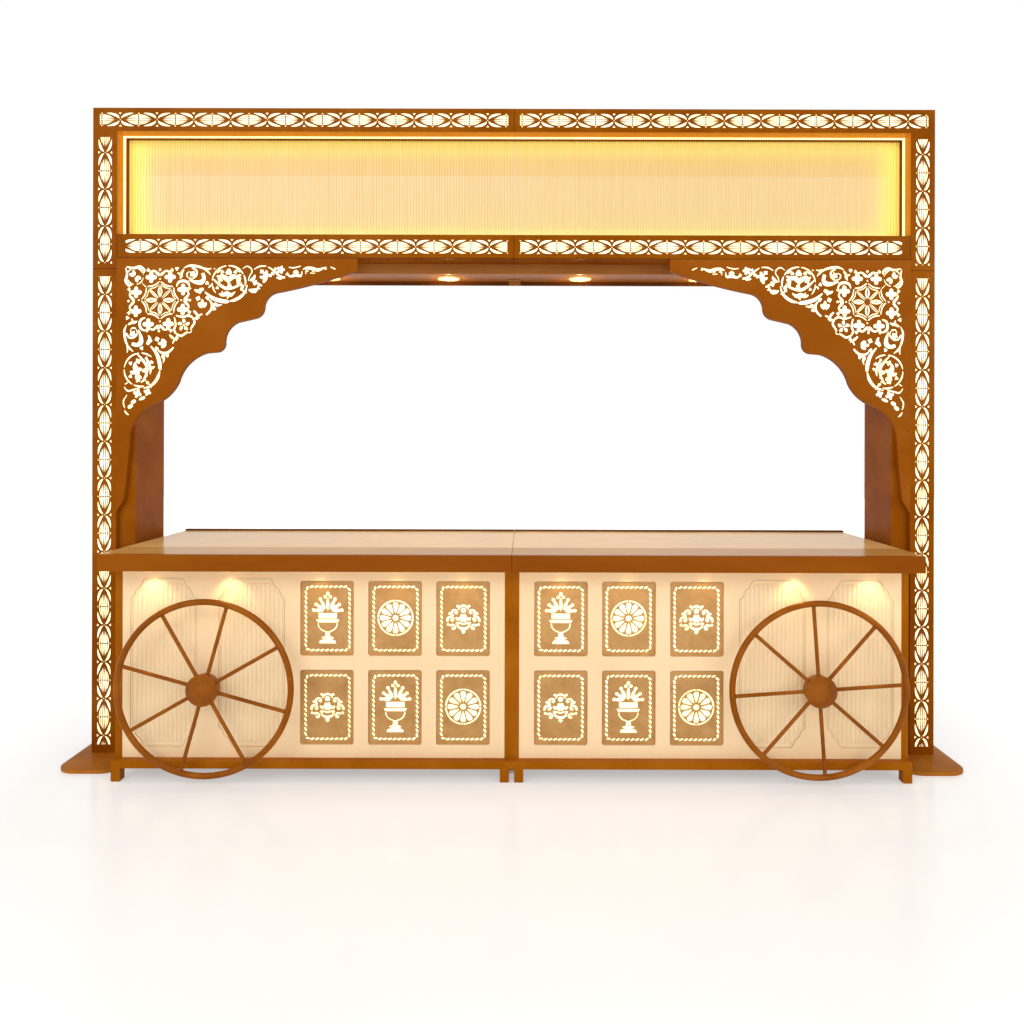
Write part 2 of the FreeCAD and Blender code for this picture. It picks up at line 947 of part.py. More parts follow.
def header_panel():
    """The pale sheet at the back of the recess."""
    depth = (header_panel_y, header_panel_y + header_panel_thickness)
    return [block(half_header_x, depth, (lower_rail_top_z, header_rail_bottom_z))]


def header_back():
    """The sheet that closes the header behind the pale panel."""
    depth = (casing_back_y - header_back_thickness, casing_back_y)
    return [block(half_header_x, depth, (lower_rail_top_z, header_rail_bottom_z))]


def header_led_profiles():
    """Light profiles under the top rail, on the lower rail and up the columns."""
    front_y = column_front_y + led_profile_setback
    depth = (front_y, front_y + led_profile_width)
    low = (lower_rail_top_z, lower_rail_top_z + led_profile_thickness)
    high = (header_rail_bottom_z - led_profile_thickness, header_rail_bottom_z)
    side_x = (column_inner_x - led_profile_thickness, column_inner_x)
    return [
        block(half_header_x, depth, low),
        block(half_header_x, depth, high),
        block(side_x, depth, (low[1], high[0])),
    ]


# Canopy ceiling


def ceiling_span_y():
    return (casing_back_y, side_wall_back_y - lip_thickness)


def ceiling_module():
    """A shallow box behind the header, open at the centre seam."""
    x = (seat_gap, side_wall_inner_x)
    y = ceiling_span_y()
    z = (ceiling_z, ceiling_top_z)
    end = block((x[1] - sheet_wall, x[1]), grown(y, -sheet_wall), grown(z, -sheet_wall))
    return [tube(x, y, z, "x", sheet_wall).fuse(end).removeSplitter()]


def rear_lip():
    """The sheet along the ceiling's back edge, a little lower than the ceiling."""
    depth = (side_wall_back_y - lip_thickness, side_wall_back_y)
    height = (ceiling_z - lip_drop, ceiling_top_z)
    return [block((seat_gap, side_wall_inner_x), depth, height)]


def ceiling_downlights():
    """Flat lights under the ceiling."""
    y = middle(ceiling_span_y())
    height = (ceiling_z - downlight_height, ceiling_z)
    return [puck(downlight_radius, x, y, height) for x in downlight_centres_x]


# Arch brackets


def bracket_point(shares):
    """A place on the bracket, measured in from the column and down from the header rail."""
    return (
        column_inner_x - bracket_reach * shares[0],
        lower_rail_bottom_z - bracket_drop * shares[1],
    )


def bracket_outline():
    """The bracket's outline as (x, z, bulge) points."""
    points = [(*bracket_point((0, 0)), 0.0), (*bracket_point((1, 0)), 0.0)]
    for reach_share, drop_share, bulge in bracket_edge_shares:
        points.append((*bracket_point((reach_share, drop_share)), bulge))
    return points


def sector_window(centre, first, turn):
    """One window of a medallion: a sector with straight edges."""
    points = []
    for radius, angle in (
        (medallion_inner_radius, first),
        (medallion_radius, first),
        (medallion_radius, first + turn),
        (medallion_inner_radius, first + turn),
    ):
        a = math.radians(angle)
        points.append((centre[0] + radius * math.cos(a), centre[1] + radius * math.sin(a)))
    return straight(points)


def bracket_openings():
    """The rosette's petals and the windows of the two medallions."""
    rosette = bracket_point(rosette_shares)
    openings = [
        kite(rosette, 360 / petal_count * step, petal_start, petal_length, petal_width)
        for step in range(petal_count)
    ]
    for shares in medallion_shares:
        centre = bracket_point(shares)
        for step in range(medallion_windows):
            first = 360 / medallion_windows * step
            openings.append(sector_window(centre, first, medallion_window_turn))
    return openings


def bracket_pocket(y):
    """The light pocket's outline between two depths."""
    return slab(straight([bracket_point(shares) for shares in bracket_pocket_shares]), y)


def arch_bracket():
    """A cusped plate with a light pocket from the back and a pierced skin over it."""
    skin_y = (column_front_y, column_front_y + bracket_skin)
    plate = slab(bracket_outline(), (column_front_y, bracket_back_y))
    cuts = [bracket_pocket((skin_y[1], bracket_back_y + cut_overrun))]
    cuts += [slab(opening, grown(skin_y, cut_overrun / 2)) for opening in bracket_openings()]
    return [plate.cut(cuts)]


def arch_diffuser():
    """The milky sheet in the pocket, against the pierced skin."""
    front_y = column_front_y + bracket_skin
    return [bracket_pocket((front_y, front_y + diffuser_thickness))]


def arch_back_cover():
    """The sheet that closes the pocket, flush with the plate's back."""
    return [bracket_pocket((bracket_back_y - bracket_cover_thickness, bracket_back_y))]


# Joining pieces and electrics


def table_ties():
    """Spacers between the table's outer end and the side wall, low at its frame and high at its skirt."""
    levels = (
        (table_outer_x, middle((foot_height, base_rail_top_z))),
        (counter_outer_x, middle((top_frame_z, board_bottom_z))),
    )
    ties = []
    for setback in tie_setbacks:
        for x, z in levels:
            start = Vector(x, rail_front_y + setback, z)
            end = Vector(side_wall_inner_x, rail_front_y + setback, z)
            ties.append(prism(hex_sides, tie_flats, start, end, Vector(0, 0, 1)))
    return ties


def seam_plates():
    """Bolted plates across the centre seam, behind the header's rails."""
    plate_y = (casing_back_y, casing_back_y + joining_plate_thickness)
    solids = []
    for z in (middle((header_rail_bottom_z, overall_height)), middle((ceiling_top_z, lower_rail_top_z))):
        solids.append(
            block(around(0, joining_plate_length), plate_y, around(z, joining_plate_height))
        )
        for x in around(0, bolt_spacing):
            seat = Vector(x, plate_y[1], z)
            head = seat + Vector(0, bolt_head, 0)
            solids.append(prism(hex_sides, bolt_flats, seat, head, Vector(0, 0, 1)))
    return solids


def foot_link():
    """The short bolt between the two tables' inner front feet."""
    y = rail_front_y + foot_depth / 2
    z = foot_height - bolt_flats
    return [
        prism(hex_sides, bolt_flats, Vector(-foot_inset, y, z), Vector(foot_inset, y, z), Vector(0, 0, 1))
    ]


def power_supply():
    """A sealed supply on top of each ceiling module."""
    depth = around(middle(ceiling_span_y()), supply_width)
    height = (ceiling_top_z, ceiling_top_z + supply_height)
    return [block(around(supply_x, supply_length), depth, height)]


def power_inlet():
    """The mains inlet low on the back of the right side wall."""
    x = middle((side_wall_inner_x, column_outer_x))
    back_y = side_wall_back_y + inlet_plate_thickness
    plate = block(
        around(x, inlet_width), (side_wall_back_y, back_y), around(inlet_z, inlet_height)
    )
    well = block(
        grown(around(x, inlet_width), -inlet_rim),
        (back_y - inlet_well_depth, back_y + cut_overrun),
        grown(around(inlet_z, inlet_height), -inlet_rim),
    )
    return [plate.cut(well)]


# The whole object


def both(maker):
    """The solids of a piece on both sides, for one node."""
    solids = maker()
    return solids + [mirrored(solid) for solid in solids]


def nodes():
    """Every node's name and its solids."""
    found = {}
    for name, maker in (
        ("base_frame", base_frame),
        ("table_posts", table_posts),
        ("top_frame", top_frame),
        ("front_panel", front_panel),
        ("fascia", fascia),
        ("border_board", border_board),
        ("cream_top", cream_top),
        ("lower_column", lower_column),
        ("upper_column", upper_column),
        ("side_wall", side_wall),
        ("arch_bracket", arch_bracket),
    ):
        found[name + "_right"] = maker()
        found[name + "_left"] = [mirrored(solid) for solid in found[name + "_right"]]
    for name, maker in (
        ("picture_tiles", picture_tiles),
        ("wheel_rim", wheel_rim),
        ("wheel_hub", wheel_hub),
    ):
        for side in ("left", "right"):
            found[name + "_" + side] = maker(side)
    for name, maker in (
        ("base_plates", base_plate),
        ("stub_axles", stub_axle),
        ("levelling_feet", levelling_feet),
        ("storage_shelves", storage_shelf),
        ("end_panels", end_panel),
        ("fluted_insets", fluted_insets),
        ("tile_diffusers", tile_diffuser),
        ("tile_light_boxes", tile_light_box),
        ("rear_edge_trim", rear_edge_trim),
        ("soffit_boards", soffit_board),
        ("panel_spotlights", panel_spotlights),
        ("band_diffusers", band_diffusers),
        ("led_bars", led_bars),
        ("header_top_rail", header_top_rail),
        ("header_lower_rail", header_lower_rail),
        ("header_panel", header_panel),
        ("header_back", header_back),
        ("header_led_profiles", header_led_profiles),
        ("ceiling_modules", ceiling_module),
        ("rear_lip", rear_lip),
        ("ceiling_downlights", ceiling_downlights),
        ("arch_diffusers", arch_diffuser),
        ("arch_back_covers", arch_back_cover),
        ("power_supplies", power_supply),
    ):
        found[name] = both(maker)
    found["joining_pieces"] = both(table_ties) + seam_plates() + foot_link()
    found["power_inlet"] = power_inlet()
    return found


def main():
    os.makedirs("parts", exist_ok=True)
    found = nodes()
    for name, solids in found.items():
        shape = solids[0] if len(solids) == 1 else Part.makeCompound(solids)
        shape.exportStep(os.path.join("parts", name + ".step"))
    print(len(found), "nodes,", sum(len(solids) for solids in found.values()), "solids")


main()
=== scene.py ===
import math

import bmesh
import bpy
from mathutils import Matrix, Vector


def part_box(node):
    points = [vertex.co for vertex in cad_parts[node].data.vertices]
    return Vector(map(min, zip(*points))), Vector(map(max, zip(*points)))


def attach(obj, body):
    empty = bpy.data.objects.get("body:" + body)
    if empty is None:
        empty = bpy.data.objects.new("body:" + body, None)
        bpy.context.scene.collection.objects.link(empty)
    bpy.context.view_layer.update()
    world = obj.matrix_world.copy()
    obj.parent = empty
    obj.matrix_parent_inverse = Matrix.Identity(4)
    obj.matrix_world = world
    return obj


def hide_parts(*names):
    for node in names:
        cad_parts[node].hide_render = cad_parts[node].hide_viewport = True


# Lengths here are in millimetres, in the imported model's frame, and become metres when a mesh is made.

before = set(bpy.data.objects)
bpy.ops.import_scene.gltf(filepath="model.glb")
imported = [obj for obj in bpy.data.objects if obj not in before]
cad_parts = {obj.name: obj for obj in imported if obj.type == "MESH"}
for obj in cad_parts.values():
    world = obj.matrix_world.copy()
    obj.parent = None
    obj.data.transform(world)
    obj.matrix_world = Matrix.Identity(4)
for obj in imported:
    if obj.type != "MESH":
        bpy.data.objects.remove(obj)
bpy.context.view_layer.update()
MM = 0.001
SIDES = (("left", -1), ("right", 1))

WHITE = (1, 1, 1, 1)
DARK = (0, 0, 0, 1)

# Sheet metal
SHEET = 2.5
SEAM = 1.1
BOARD_SEAM = 0.25
# Half the width of the dark strips of painted shade in the seams.
SEAM_SHADE_HALF = 1
# The lower rail is raised and shortened at its ends by this much, over strips of painted shade.
RAIL_LIFT = 2
LINING = 1

# Bands of cut-outs
PITCH = 138.4
TOP_RAIL_BAND = (22, 1561)
TOP_RAIL_JOINT = 791.5
LOWER_RAIL_BAND = (22, 1462.5)
LOWER_RAIL_JOINT = 1338.3
UPPER_COLUMN_BAND = (1853, 2330)
UPPER_COLUMN_JOINT = 2272
LOWER_COLUMN_BAND = (42, 1806)
LOWER_COLUMN_JOINT = 1737.5

# Arch brackets, as in the CAD: shares of the reach and the drop, and the bulge to the next point
BRACKET_REACH = 906
BRACKET_DROP = 957
BRACKET_SKIN = 3
BRACKET_EDGE_SHARES = (
    (1, 0.047, -0.02),
    (0.66, 0.135, 0.165),
    (0.611, 0.193, -0.17),
    (0.574, 0.236, 0),
    (0.501, 0.252, 0.157),
    (0.448, 0.334, -0.18),
    (0.416, 0.37, 0),
    (0.37, 0.374, 0.13),
    (0.255, 0.487, -0.09),
    (0.168, 0.571, 0.135),
    (0.056, 0.69, -0.01),
    (0.031, 0.949, 0),
    (0, 1, 0),
)
BRACKET_POCKET_SHARES = (
    (0.015, 0.015),
    (0.936, 0.015),
    (0.936, 0.05),
    (0.706, 0.102),
    (0.552, 0.165),
    (0.446, 0.205),
    (0.369, 0.259),
    (0.338, 0.313),
    (0.274, 0.349),
    (0.216, 0.422),
    (0.174, 0.522),
    (0.124, 0.571),
    (0.057, 0.627),
    (0.015, 0.627),
)

ORNAMENT_WEIGHT = 1.95

# Small flowers between the bracket's scrolls: in from the column, down, radius, lobes and turn
BRACKET_FLOWERS = (
    (286, 60, 13, 5, 0),
    (389, 80, 11, 4, 30),
    (459, 80, 11, 4, 60),
    (424, 104, 10, 5, 18),
    (397, 52, 8, 3, 10),
    (446, 52, 8, 3, 50),
    (470, 116, 7, 3, 0),
    (378, 112, 7, 3, 40),
    (342, 150, 9, 3, 80),
    (366, 190, 9, 3, 20),
    (306, 152, 10, 4, 20),
    (262, 156, 9, 4, 0),
    (226, 40, 8, 3, 90),
    (340, 94, 8, 3, 30),
    (300, 226, 8, 3, 60),
)
TIP_FLOWERS = (
    (521, 92, 11, 4, 20),
    (546, 50, 9, 4, 50),
    (586, 58, 8, 3, 30),
    (598, 40, 7, 3, 0),
    (642, 60, 7, 3, 60),
    (716, 47, 6, 3, 0),
    (740, 46, 6, 3, 40),
    (762, 40, 6, 3, 80),
    (786, 39, 5, 3, 20),
)

# Header face: pitches of its reeds and its clip's teeth, and tones going up as (share, colour, light),
# bright by its lights at the bottom and top as painted light
FACE_PITCH = 11
CLIP_PITCH = 9
FACE_TONES = (
    (0, 255, 248, 150, 1),
    (0.05, 255, 246, 150, 0.82),
    (0.13, 254, 236, 158, 0.68),
    (0.26, 254, 227, 162, 0.68),
    (0.64, 254, 226, 166, 0.68),
    (0.648, 251, 215, 148, 0.68),
    (0.8, 250, 219, 136, 0.68),
    (0.93, 252, 230, 130, 0.76),
    (1, 255, 238, 122, 1),
)
LINE_WIDTH = 6
LINE_WALL = 1.5

# Lights, out from the centre line
SPOT_PLACES = (172, 405, 675, 986, 1256)
DOWNLIGHT_PLACES = (262, 739)

# Wheels
SPOKES = 8
AXLE_BORE = 10.06
HUB_RADIUS = 50
CAP_RADIUS = 54.5
CAP_NOSE = 8.5
CAP_HEIGHT = 29
CAP_RINGS = 6

# Insets in the front panels
INSET_WIDTH = 232
INSET_PITCH = 310
INSET_GAP = 0.3
REED_COUNT = 14
REED_MARGIN = 17
REED_INSET = 7

# Picture tiles
TILE_COLUMNS = 3
TILE_WIDTH = 188
TILE_HEIGHT = 263
TILE_CORNER = 9
ROPE_PITCH = 17
ROPE_MARGIN = 17
ROPE_TOP = 22

# Where the fascia's return board and the base plates end
RETURN_BOARD = (1395, 1406)
BASE_PLATE_INNER = 1405

FLOOR_REACH = 14


def span(node):
    """A CAD node's spans along X, Y and Z."""
    low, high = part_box(node)
    return [(low[axis] / MM, high[axis] / MM) for axis in range(3)]


def middle(pair):
    return (pair[0] + pair[1]) / 2


def sided(side, first, last):
    """A span out from the centre line, on one side of it."""
    return sorted((side * first, side * last))


# Outlines in the plane: lists of (u, v)


def moved(points, du, dv):
    return [(u + du, v + dv) for u, v in points]


def scaled(points, su, sv):
    return [(u * su, v * sv) for u, v in points]


def turned(points, degrees):
    c = math.cos(math.radians(degrees))
    s = math.sin(math.radians(degrees))
    return [(u * c - v * s, u * s + v * c) for u, v in points]


def swapped(points):
    return [(v, u) for u, v in points]


def arc(centre, radius, first, last, steps=16):
    points = []
    for step in range(steps + 1):
        turn = math.radians(first + (last - first) * step / steps)
        points.append((centre[0] + radius * math.cos(turn), centre[1] + radius * math.sin(turn)))
    return points


def ellipse(centre, half_u, half_v, steps=24):
    points = arc((0, 0), 1, 0, 360, steps)[:-1]
    return moved(scaled(points, half_u, half_v), centre[0], centre[1])


def spiral(centre, radii, first, last, steps=28):
    points = []
    for step in range(steps + 1):
        share = step / steps
        turn = math.radians(first + (last - first) * share)
        radius = radii[0] + (radii[1] - radii[0]) * share
        points.append((centre[0] + radius * math.cos(turn), centre[1] + radius * math.sin(turn)))
    return points


def eased(a, b, c, d, t):
    """A value between b and c on a smooth curve through a, b, c and d."""
    bend = (2 * a - 5 * b + 4 * c - d) * t * t
    return 0.5 * (2 * b + (c - a) * t + bend + (3 * b - a - 3 * c + d) * t ** 3)


def flow(points, steps=6):
    """A smooth path through the points."""
    path = []
    last = len(points) - 1
    for index in range(last):
        near = (points[max(index - 1, 0)], points[index], points[index + 1], points[min(index + 2, last)])
        for step in range(steps):
            path.append(tuple(eased(*values, step / steps) for values in zip(*near)))
    return path + [points[-1]]


def value_at(values, share):
    """A value read from an even row of values."""
    place = share * (len(values) - 1)
    index = min(int(place), len(values) - 2)
    return values[index] + (values[index + 1] - values[index]) * (place - index)


def stroke(path, widths):
    """The closed outline of a path whose width changes along it."""
    left = []
    right = []
    last = len(path) - 1
    for index, (u, v) in enumerate(path):
        before = path[max(index - 1, 0)]
        after = path[min(index + 1, last)]
        du = after[0] - before[0]
        dv = after[1] - before[1]
        length = math.hypot(du, dv) or 1
        half = value_at(widths, index / last) / 2
        left.append((u - dv / length * half, v + du / length * half))
        right.append((u + dv / length * half, v - du / length * half))
    return left + right[::-1]


def leaf(start, end, width, bend=0, steps=8):
    """A pointed leaf between two points, bent sideways by a share of its length."""
    du = end[0] - start[0]
    dv = end[1] - start[1]
    knee = (start[0] + du / 2 - dv * bend, start[1] + dv / 2 + du * bend)
    path = flow([start, knee, end], steps)
    widths = [width * math.sin(math.pi * share / steps) ** 0.8 for share in range(steps + 1)]
    return stroke(path, [max(w, 0.15) for w in widths])


def lobed(centre, radius, lobes, depth, first=0, steps=40):
    """A rounded flower or cross with the given number of lobes."""
    points = []
    for step in range(steps):
        turn = 2 * math.pi * step / steps
        reach = radius * (1 - depth + depth * abs(math.cos(lobes * (turn - math.radians(first)) / 2)))
        points.append((centre[0] + reach * math.cos(turn), centre[1] + reach * math.sin(turn)))
    return points


def clipped(points, low, high):
    """A closed outline cut off straight at two places along u."""
    for limit, sign in ((low, 1), (high, -1)):
        kept = []
        for (u, v), (next_u, next_v) in zip(points, points[1:] + points[:1]):
            inside = sign * (u - limit) >= 0
            if inside:
                kept.append((u, v))
            if inside != (sign * (next_u - limit) >= 0):
                share = (limit - u) / (next_u - u)
                kept.append((limit, v + (next_v - v) * share))
        points = kept
    return points


def area(points):
    return sum(
        u * next_v - next_u * v for (u, v), (next_u, next_v) in zip(points, points[1:] + points[:1])
    ) / 2


def rounded(u, v, radius, steps=6):
    """A rectangle with round corners."""
    points = []
    for cu, cv, first in (
        (u[1] - radius, v[1] - radius, 0),
        (u[0] + radius, v[1] - radius, 90),
        (u[0] + radius, v[0] + radius, 180),
        (u[1] - radius, v[0] + radius, 270),
    ):
        points += arc((cu, cv), radius, first, first + 90, steps)
    return points


def rectangle(u, v):
    return [(u[0], v[0]), (u[1], v[0]), (u[1], v[1]), (u[0], v[1])]


# Solids as (corners, faces), which are joined into one mesh


def box_solid(x, y, z):
    corners = [(a, b, c) for a in x for b in y for c in z]
    faces = [(0, 1, 3, 2), (4, 6, 7, 5), (0, 4, 5, 1), (2, 3, 7, 6), (0, 2, 6, 4), (1, 5, 7, 3)]
    return corners, faces


def bar_solid(profile, along, start, end):
    """A closed profile swept straight along X, Y or Z."""
    count = len(profile)
    corners = []
    for place in (start, end):
        for u, v in profile:
            corners.append({"x": (place, u, v), "y": (u, place, v), "z": (u, v, place)}[along])
    faces = [tuple(range(count)), tuple(range(2 * count - 1, count - 1, -1))]
    for index in range(count):
        after = (index + 1) % count
        faces.append((index, index + count, after + count, after))
    return corners, faces


def lathe(profile, centre, steps=72):
    """A closed profile of (radius, y) turned about an axis along Y through centre (x, z)."""
    count = len(profile)
    corners = []
    for step in range(steps):
        turn = 2 * math.pi * step / steps
        for radius, y in profile:
            corners.append((centre[0] + radius * math.cos(turn), y, centre[1] + radius * math.sin(turn)))
    faces = []
    for step in range(steps):
        here = step * count
        there = ((step + 1) % steps) * count
        for index in range(count):
            after = (index + 1) % count
            faces.append((here + index, here + after, there + after, there + index))
    return corners, faces


def upright_lathe(profile, centre, steps=48):
    """A closed profile of (radius, z) turned about an upright axis through centre (x, y)."""
    corners, faces = lathe(profile, centre, steps)
    return [(x, z, y) for x, y, z in corners], [face[::-1] for face in faces]


def rod(start, end, radii, sides=20):
    """A round bar whose radius changes along it in even steps."""
    start = Vector(start)
    run = Vector(end) - start
    side = run.orthogonal().normalized()
    up = run.cross(side).normalized()
    corners = []
    for place, radius in enumerate(radii):
        centre = start + run * (place / (len(radii) - 1))
        for step in range(sides):
            turn = 2 * math.pi * step / sides
            corners.append(tuple(centre + (side * math.cos(turn) + up * math.sin(turn)) * radius))
    faces = [tuple(range(sides - 1, -1, -1))]
    for place in range(len(radii) - 1):
        for step in range(sides):
            after = (step + 1) % sides
            low = place * sides
            faces.append((low + step, low + after, low + sides + after, low + sides + step))
    top = (len(radii) - 1) * sides
    faces.append(tuple(range(top, top + sides)))
    return corners, faces


def evaluated(holder):
    """The corners and faces of an object with its modifiers applied."""
    bpy.context.view_layer.update()
    mesh = bpy.data.meshes.new_from_object(holder.evaluated_get(bpy.context.evaluated_depsgraph_get()))
    corners = [tuple(v.co) for v in mesh.vertices]
    faces = [tuple(face.vertices) for face in mesh.polygons]
    bpy.data.meshes.remove(mesh)
    return corners, faces


def plate_solid(outline, holes, y):
    """A plate in the XZ plane with holes, between two depths."""
    curve = bpy.data.curves.new("plate", "CURVE")
    curve.dimensions = "2D"
    curve.fill_mode = "BOTH"
    curve.extrude = (y[1] - y[0]) / 2
    for points in [outline] + holes:
        spline = curve.splines.new("POLY")
        spline.points.add(len(points) - 1)
        for point, (u, v) in zip(spline.points, points):
            point.co = (u, v, 0, 1)
        spline.use_cyclic_u = True
    holder = bpy.data.objects.new("plate", curve)
    bpy.context.scene.collection.objects.link(holder)
    corners, faces = evaluated(holder)
    bpy.data.objects.remove(holder)
    bpy.data.curves.remove(curve)
    return [(u, middle(y) - depth, v) for u, v, depth in corners], faces


def mesh_object(name, solids, merged=False):
    """An object made of solids, with its faces turned outwards."""
    corners = []
    faces = []
    for solid_corners, solid_faces in solids:
        first = len(corners)
        corners += solid_corners
        faces += [tuple(first + index for index in face) for face in solid_faces]
    mesh = bpy.data.meshes.new(name)
    mesh.from_pydata(corners, [], faces)
    work = bmesh.new()
    work.from_mesh(mesh)
    if merged:
        bmesh.ops.remove_doubles(work, verts=work.verts, dist=1e-6)
    bmesh.ops.recalc_face_normals(work, faces=work.faces)
    work.to_mesh(mesh)
    work.free()
    made = bpy.data.objects.new(name, mesh)
    bpy.context.scene.collection.objects.link(made)
    return made


def stack(outlines, y):
    """An object of prisms in the XZ plane between two depths."""
    solids = []
    for outline in outlines:
        points = outline if area(outline) > 0 else outline[::-1]
        solids.append(bar_solid(points, "y", *y))
    return mesh_object("stack", solids)


def cut_plate(outline, shapes, y):
    """A plate in the XZ plane with cut-outs that may run into each other."""
    plate = stack([outline], y)
    cutter = stack(shapes, (y[0] - 4, y[1] + 4))
    cut = plate.modifiers.new("cut", "BOOLEAN")
    cut.operation = "DIFFERENCE"
    cut.solver = "EXACT"
    cut.use_self = True
    cut.object = cutter
    solid = evaluated(plate)
    for made in (plate, cutter):
        used = made.data
        bpy.data.objects.remove(made)
        bpy.data.meshes.remove(used)
    return solid


def piece(name, solids, material, body="counter", replaced=(), smooth=0, bevel=0):
    """One object made of solids, which rides on a body and may stand for CAD nodes."""
    solids = [([(x * MM, y * MM, z * MM) for x, y, z in corners], faces) for corners, faces in solids]
    made = mesh_object(name, solids, merged=True)
    mesh = made.data
    mesh.materials.append(material)
    if bevel:
        rounding = made.modifiers.new("rounding", "BEVEL")
        rounding.width = bevel * MM
        rounding.segments = 2
        rounding.limit_method = "ANGLE"
        rounding.angle_limit = math.radians(40)
        rounding.harden_normals = True
    if smooth or bevel:
        mesh.polygons.foreach_set("use_smooth", [True] * len(mesh.polygons))
        mesh.set_sharp_from_angle(angle=math.radians(smooth or 40))
    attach(made, body)
    if replaced:
        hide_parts(*replaced)
    return made


# Materials


def tone(red, green, blue, light=1):
    """A colour written as 0 to 255, as the shader wants it; light dims it."""
    linear = []
    for channel in (red, green, blue):
        share = channel / 255
        linear.append(light * (share / 12.92 if share <= 0.04045 else ((share + 0.055) / 1.055) ** 2.4))
    return (*linear, 1)


def fill(tree, node, inputs):
    """Each input is linked when it is given a socket, and set when it is given a value."""
    for name, value in inputs.items():
        if isinstance(value, bpy.types.NodeSocket):
            tree.links.new(value, node.inputs[name])
        else:
            node.inputs[name].default_value = value


def add(tree, kind, inputs=(), **settings):
    """A new node with its settings and its inputs."""
    node = tree.nodes.new("ShaderNode" + kind)
    for name, value in settings.items():
        setattr(node, name, value)
    fill(tree, node, dict(inputs))
    return node


def start_material(name):
    material = bpy.data.materials.new(name)
    material.use_nodes = True
    tree = material.node_tree
    tree.nodes.clear()
    shader = add(tree, "BsdfPrincipled")
    add(tree, "OutputMaterial", {"Surface": shader.outputs["BSDF"]})
    return material, tree, shader


def places(tree, stretch=(1, 1, 1)):
    """Positions on the object, in metres, stretched along the axes."""
    source = add(tree, "TexCoord").outputs["Object"]
    return add(tree, "Mapping", {"Scale": stretch, "Vector": source}).outputs["Vector"]


def parts(tree):
    """The separate X, Y and Z of a position on the object, in metres."""
    return add(tree, "SeparateXYZ", {"Vector": add(tree, "TexCoord").outputs["Object"]}).outputs


def noise(tree, vector, scale, detail=4, roughness=0.55, distortion=0):
    inputs = {"Vector": vector, "Scale": scale, "Detail": detail, "Roughness": roughness}
    return add(tree, "TexNoise", {**inputs, "Distortion": distortion}).outputs["Fac"]


def ramp(tree, factor, *stops):
    node = add(tree, "ValToRGB", {"Fac": factor})
    elements = node.color_ramp.elements
    while len(elements) < len(stops):
        elements.new(0.5)
    for element, (position, colour) in zip(elements, stops):
        element.position = position
        element.color = colour
    return node.outputs["Color"]


def level(tree, factor, low, high, from_low=0.3, from_high=0.7):
    """The factor's range from_low to from_high, carried over to low to high."""
    inputs = {"Value": factor, "From Min": from_low, "From Max": from_high, "To Min": low, "To Max": high}
    return add(tree, "MapRange", inputs).outputs["Result"]


def mixed(tree, kind, factor, first, second):
    """Two colours mixed; the numbers are the colour sockets of Blender's Mix node."""
    inputs = {0: factor, 6: first, 7: second}
    return add(tree, "Mix", inputs, data_type="RGBA", blend_type=kind).outputs[2]


def bumped(tree, height, strength, distance, edge_radius=None):
    """A bump, over edges that are rounded when a radius is given."""
    inputs = {"Height": height, "Strength": strength, "Distance": distance}
    if edge_radius:
        inputs["Normal"] = soft_edges(tree, edge_radius)
    return add(tree, "Bump", inputs).outputs["Normal"]


def soft_edges(tree, radius):
    return add(tree, "Bevel", {"Radius": radius}, samples=4).outputs["Normal"]


def edge_highlight_mask(tree, spread):
    """1 along the object's edges and 0 on its flats: the mask of the painted edge highlights."""
    flat = add(tree, "NewGeometry").outputs["True Normal"]
    dot = add(tree, "VectorMath", {0: flat, 1: soft_edges(tree, spread)}, operation="DOT_PRODUCT")
    return level(tree, dot.outputs["Value"], 1, 0, 0.85, 0.99)


def lacquer(name, shades, roughness=(0.26, 0.4), coat=0.02, grain=(9, 9, 9), gloss=0.02):
    """Sprayed lacquer: cloudy colour from three shades, fine orange peel, and a painted highlight along the
    edges in the fourth.
    """
    material, tree, shader = start_material(name)
    where = places(tree)
    deep, plain, warm, edge = (tone(*shade) for shade in shades)
    cloud = noise(tree, places(tree, grain), 0.55, 6, 0.6, 0.4)
    colour = ramp(tree, cloud, (0.25, deep), (0.5, plain), (0.75, warm))
    speck = level(tree, noise(tree, where, 420, 2), 0, 0.12, 0.45, 0.7)
    colour = mixed(tree, "MULTIPLY", speck, colour, tone(150, 120, 90))
    # Painted highlight: every edge is mixed towards the fourth, lighter shade.
    edge_highlight = level(tree, edge_highlight_mask(tree, 0.0016), 0, 0.55, 0, 1)
    smear = noise(tree, where, 26, 5, 0.65)
    peel = noise(tree, where, 260, 3)
    inputs = {
        "Base Color": mixed(tree, "MIX", edge_highlight, colour, edge),
        "Roughness": level(tree, smear, *roughness),
        "Specular IOR Level": gloss,
        "Specular Tint": (1, 0.56, 0.2, 1),
        "Coat Weight": coat,
        "Coat Roughness": 0.16,
        "Normal": bumped(tree, peel, 0.22, 0.0006, 0.0012),
    }
    fill(tree, shader, inputs)
    return material


def painted_board(name, low, high, fleck, roughness=(0.42, 0.58), grain_scale=190):
    """Eggshell paint on board: faint brush drag, fine grain and a soft mottled colour."""
    material, tree, shader = start_material(name)
    where = places(tree)
    cloud = noise(tree, where, 3.2, 6, 0.6)
    colour = ramp(tree, cloud, (0.3, tone(*low)), (0.7, tone(*high)))
    drag = level(tree, noise(tree, places(tree, (14, 14, 1.2)), 14, 5, 0.6), 0, 0.07, 0.4, 0.75)
    fine = noise(tree, where, grain_scale, 4, 0.6)
    inputs = {
        "Base Color": mixed(tree, "MULTIPLY", drag, colour, tone(*fleck)),
        "Roughness": level(tree, cloud, *roughness),
        "Normal": bumped(tree, fine, 0.18, 0.0007, 0.001),
    }
    fill(tree, shader, inputs)
    return material


